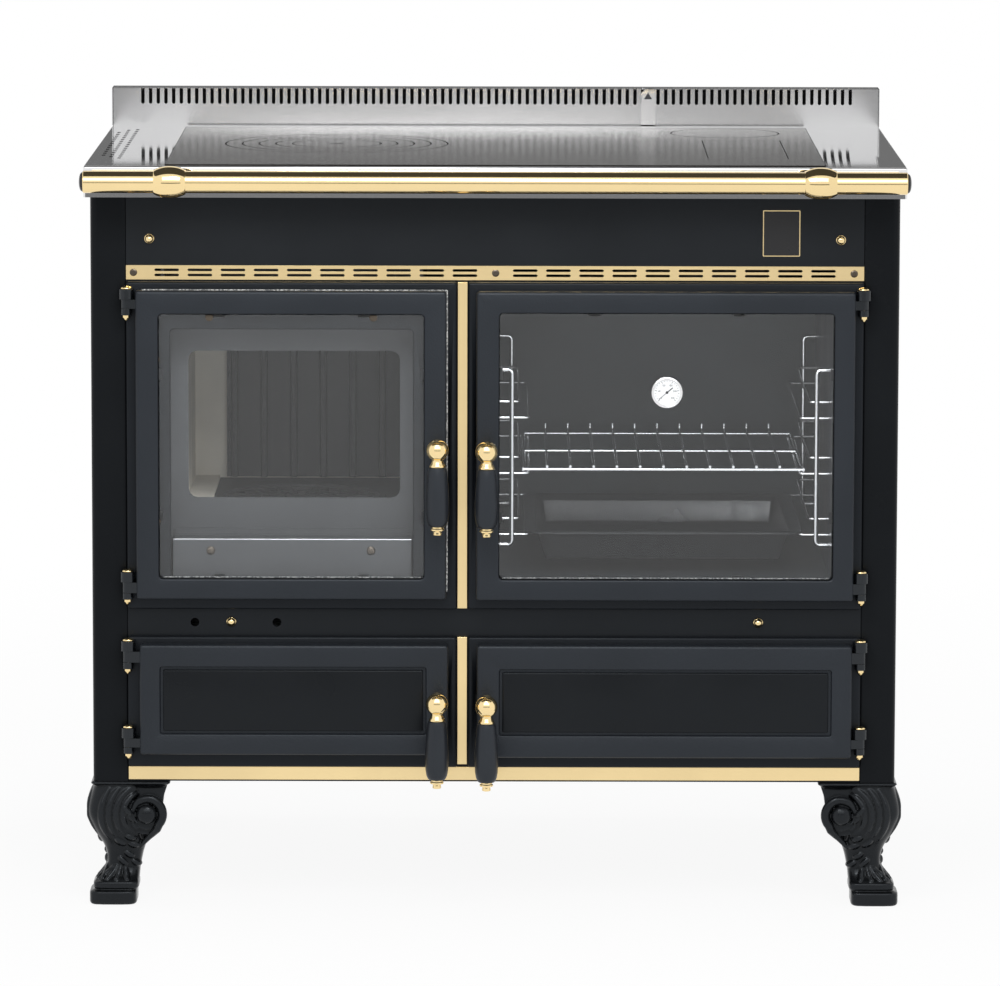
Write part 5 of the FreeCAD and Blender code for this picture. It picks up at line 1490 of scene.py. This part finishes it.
def build_stage(view):
    """The photo's camera, a pale floor, dark flags and soft lamps."""
    scene = bpy.context.scene
    scene.view_settings.view_transform = "Standard"
    camera = bpy.data.cameras.new("photo_view")
    camera.lens = view.lens
    camera.sensor_width = 36.0
    camera.clip_end = 60.0
    eye = bpy.data.objects.new("photo_view", camera)
    eye.location = view.place
    tilt = Matrix.Rotation(math.pi / 2 - view.pitch, 3, "X") @ Matrix.Rotation(view.roll, 3, "Z")
    eye.rotation_euler = tilt.to_euler()
    scene.collection.objects.link(eye)
    scene.camera = eye
    scene.world = scene.world or bpy.data.worlds.new("studio")
    sky(scene.world)
    floor = bpy.data.meshes.new("floor")
    corners = [(x * FLOOR_REACH, y * FLOOR_REACH, 0) for x, y in ((-1, -1), (1, -1), (1, 1), (-1, 1))]
    floor.from_pydata(corners, [], [(0, 1, 2, 3)])
    floor.materials.append(floor_finish())
    ground = bpy.data.objects.new("floor", floor)
    ground.location.z = -FLOOR_DROP
    scene.collection.objects.link(ground)
    for values in FLAGS:
        flag(*values)
    for values in LAMPS:
        lamp(*values)


# ---------------------------------------------------------------- add-on

class RangeColours(bpy.types.PropertyGroup):
    """Colours that a user may change."""

    enamel: FloatVectorProperty(name="Enamel", description="Black enamel of the casing", subtype="COLOR",
                                default=(0.010, 0.0112, 0.013), min=0, max=1)
    cast: FloatVectorProperty(name="Cast iron", description="Enamel of the doors and surrounds",
                              subtype="COLOR", default=(0.017, 0.020, 0.0255), min=0, max=1)
    foot: FloatVectorProperty(name="Feet", description="Paint of the cast feet", subtype="COLOR",
                              default=(0.004, 0.0044, 0.005), min=0, max=1)
    brass: FloatVectorProperty(name="Brass", description="Rail, handles and strips", subtype="COLOR",
                               default=(0.92, 0.72, 0.385), min=0, max=1)


class RangeSizes(bpy.types.PropertyGroup):
    """Sizes that a user may change."""

    foot_voxel: FloatProperty(name="Carving grain", description="Smallest detail of the carved feet",
                              default=0.0011, min=0.0005, max=0.004, unit="LENGTH")


class RangeView(bpy.types.PropertyGroup):
    """Where the camera stands."""

    place: FloatVectorProperty(name="Place", description="The camera's place", subtype="TRANSLATION",
                               unit="LENGTH", default=(0.0066, -8.3856, 1.6308))
    pitch: FloatProperty(name="Pitch", description="How far the camera looks down", subtype="ANGLE",
                         default=math.radians(7.855))
    roll: FloatProperty(name="Roll", description="How far the picture leans", subtype="ANGLE",
                        default=math.radians(0.13))
    lens: FloatProperty(name="Lens", description="Focal length in millimetres on a 36 mm sensor",
                        default=240.155, min=10)


class RANGE_OT_stage(bpy.types.Operator):
    """Camera, floor, lamps and background"""

    bl_idname = "range.stage"
    bl_label = "Stage"

    def execute(self, context):
        build_stage(context.scene.range_view)
        return {"FINISHED"}


class RANGE_OT_finishes(bpy.types.Operator):
    """All finishes of the range"""

    bl_idname = "range.finishes"
    bl_label = "Finishes"

    def execute(self, context):
        make_finishes(context.scene.range_colours)
        return {"FINISHED"}


class RANGE_OT_casing(bpy.types.Operator):
    """Side panels, fascia, frame and the plain sheets inside"""

    bl_idname = "range.casing"
    bl_label = "Casing"

    def execute(self, context):
        build_casing()
        return {"FINISHED"}


class RANGE_OT_feet(bpy.types.Operator):
    """The four carved feet"""

    bl_idname = "range.feet"
    bl_label = "Feet"

    def execute(self, context):
        build_feet(context.scene.range_sizes.foot_voxel)
        return {"FINISHED"}


class RANGE_OT_surrounds(bpy.types.Operator):
    """The cast surrounds with their knuckles, and the hinge pins"""

    bl_idname = "range.surrounds"
    bl_label = "Surrounds"

    def execute(self, context):
        build_surrounds()
        build_pins()
        return {"FINISHED"}


class RANGE_OT_doors(bpy.types.Operator):
    """The two glazed doors and the two panelled doors"""

    bl_idname = "range.doors"
    bl_label = "Doors"

    def execute(self, context):
        build_glazed_doors()
        build_panel_doors()
        return {"FINISHED"}


class RANGE_OT_seals(bpy.types.Operator):
    """Rope seals and glass gaskets"""

    bl_idname = "range.seals"
    bl_label = "Seals"

    def execute(self, context):
        build_seals()
        build_fringe()
        return {"FINISHED"}


class RANGE_OT_trim(bpy.types.Operator):
    """Brass strips, vent strip, nuts, screws and the small plain plate"""

    bl_idname = "range.trim"
    bl_label = "Trim"

    def execute(self, context):
        build_trim()
        return {"FINISHED"}


class RANGE_OT_handles(bpy.types.Operator):
    """The door handles with their grips and latches"""

    bl_idname = "range.handles"
    bl_label = "Handles"

    def execute(self, context):
        build_handles()
        return {"FINISHED"}


class RANGE_OT_rail(bpy.types.Operator):
    """The towel rail with its brackets and caps"""

    bl_idname = "range.rail"
    bl_label = "Towel rail"

    def execute(self, context):
        build_rail()
        return {"FINISHED"}


class RANGE_OT_top(bpy.types.Operator):
    """Worktop, upstand and hotplate with its rings"""

    bl_idname = "range.top"
    bl_label = "Top"

    def execute(self, context):
        build_worktop()
        build_splashback()
        build_hotplate()
        return {"FINISHED"}


class RANGE_OT_fire(bpy.types.Operator):
    """The grate and the fire's small screws"""

    bl_idname = "range.fire"
    bl_label = "Fire"

    def execute(self, context):
        build_fire()
        return {"FINISHED"}


class RANGE_OT_oven(bpy.types.Operator):
    """Racks, shelf, tray and thermometer"""

    bl_idname = "range.oven"
    bl_label = "Oven"

    def execute(self, context):
        build_oven()
        build_thermometer()
        return {"FINISHED"}


STEPS = (
    RANGE_OT_stage, RANGE_OT_finishes, RANGE_OT_casing, RANGE_OT_feet, RANGE_OT_surrounds,
    RANGE_OT_doors, RANGE_OT_seals, RANGE_OT_trim, RANGE_OT_handles, RANGE_OT_rail, RANGE_OT_top,
    RANGE_OT_fire, RANGE_OT_oven,
)


class RANGE_PT_panel(bpy.types.Panel):
    """Lists the steps that build the range"""

    bl_idname = "RANGE_PT_panel"
    bl_label = "Range cooker"
    bl_space_type = "VIEW_3D"
    bl_region_type = "UI"
    bl_category = "Range"

    def draw(self, context):
        for colour in ("enamel", "cast", "foot", "brass"):
            self.layout.prop(context.scene.range_colours, colour)
        self.layout.prop(context.scene.range_sizes, "foot_voxel")
        for step in STEPS:
            self.layout.operator(step.bl_idname)


CLASSES = (RangeColours, RangeSizes, RangeView) + STEPS + (RANGE_PT_panel,)


def register():
    """Adds the classes, and their settings to the scene."""
    for cls in CLASSES:
        bpy.utils.register_class(cls)
    bpy.types.Scene.range_colours = PointerProperty(type=RangeColours)
    bpy.types.Scene.range_sizes = PointerProperty(type=RangeSizes)
    bpy.types.Scene.range_view = PointerProperty(type=RangeView)


def unregister():
    """Takes the settings and the classes out again."""
    del bpy.types.Scene.range_view
    del bpy.types.Scene.range_sizes
    del bpy.types.Scene.range_colours
    for cls in reversed(CLASSES):
        bpy.utils.unregister_class(cls)


def main():
    """Runs every step in order."""
    register()
    for step in STEPS:
        group, name = step.bl_idname.split(".")
        getattr(getattr(bpy.ops, group), name)()


if __name__ == "__main__":
    main()
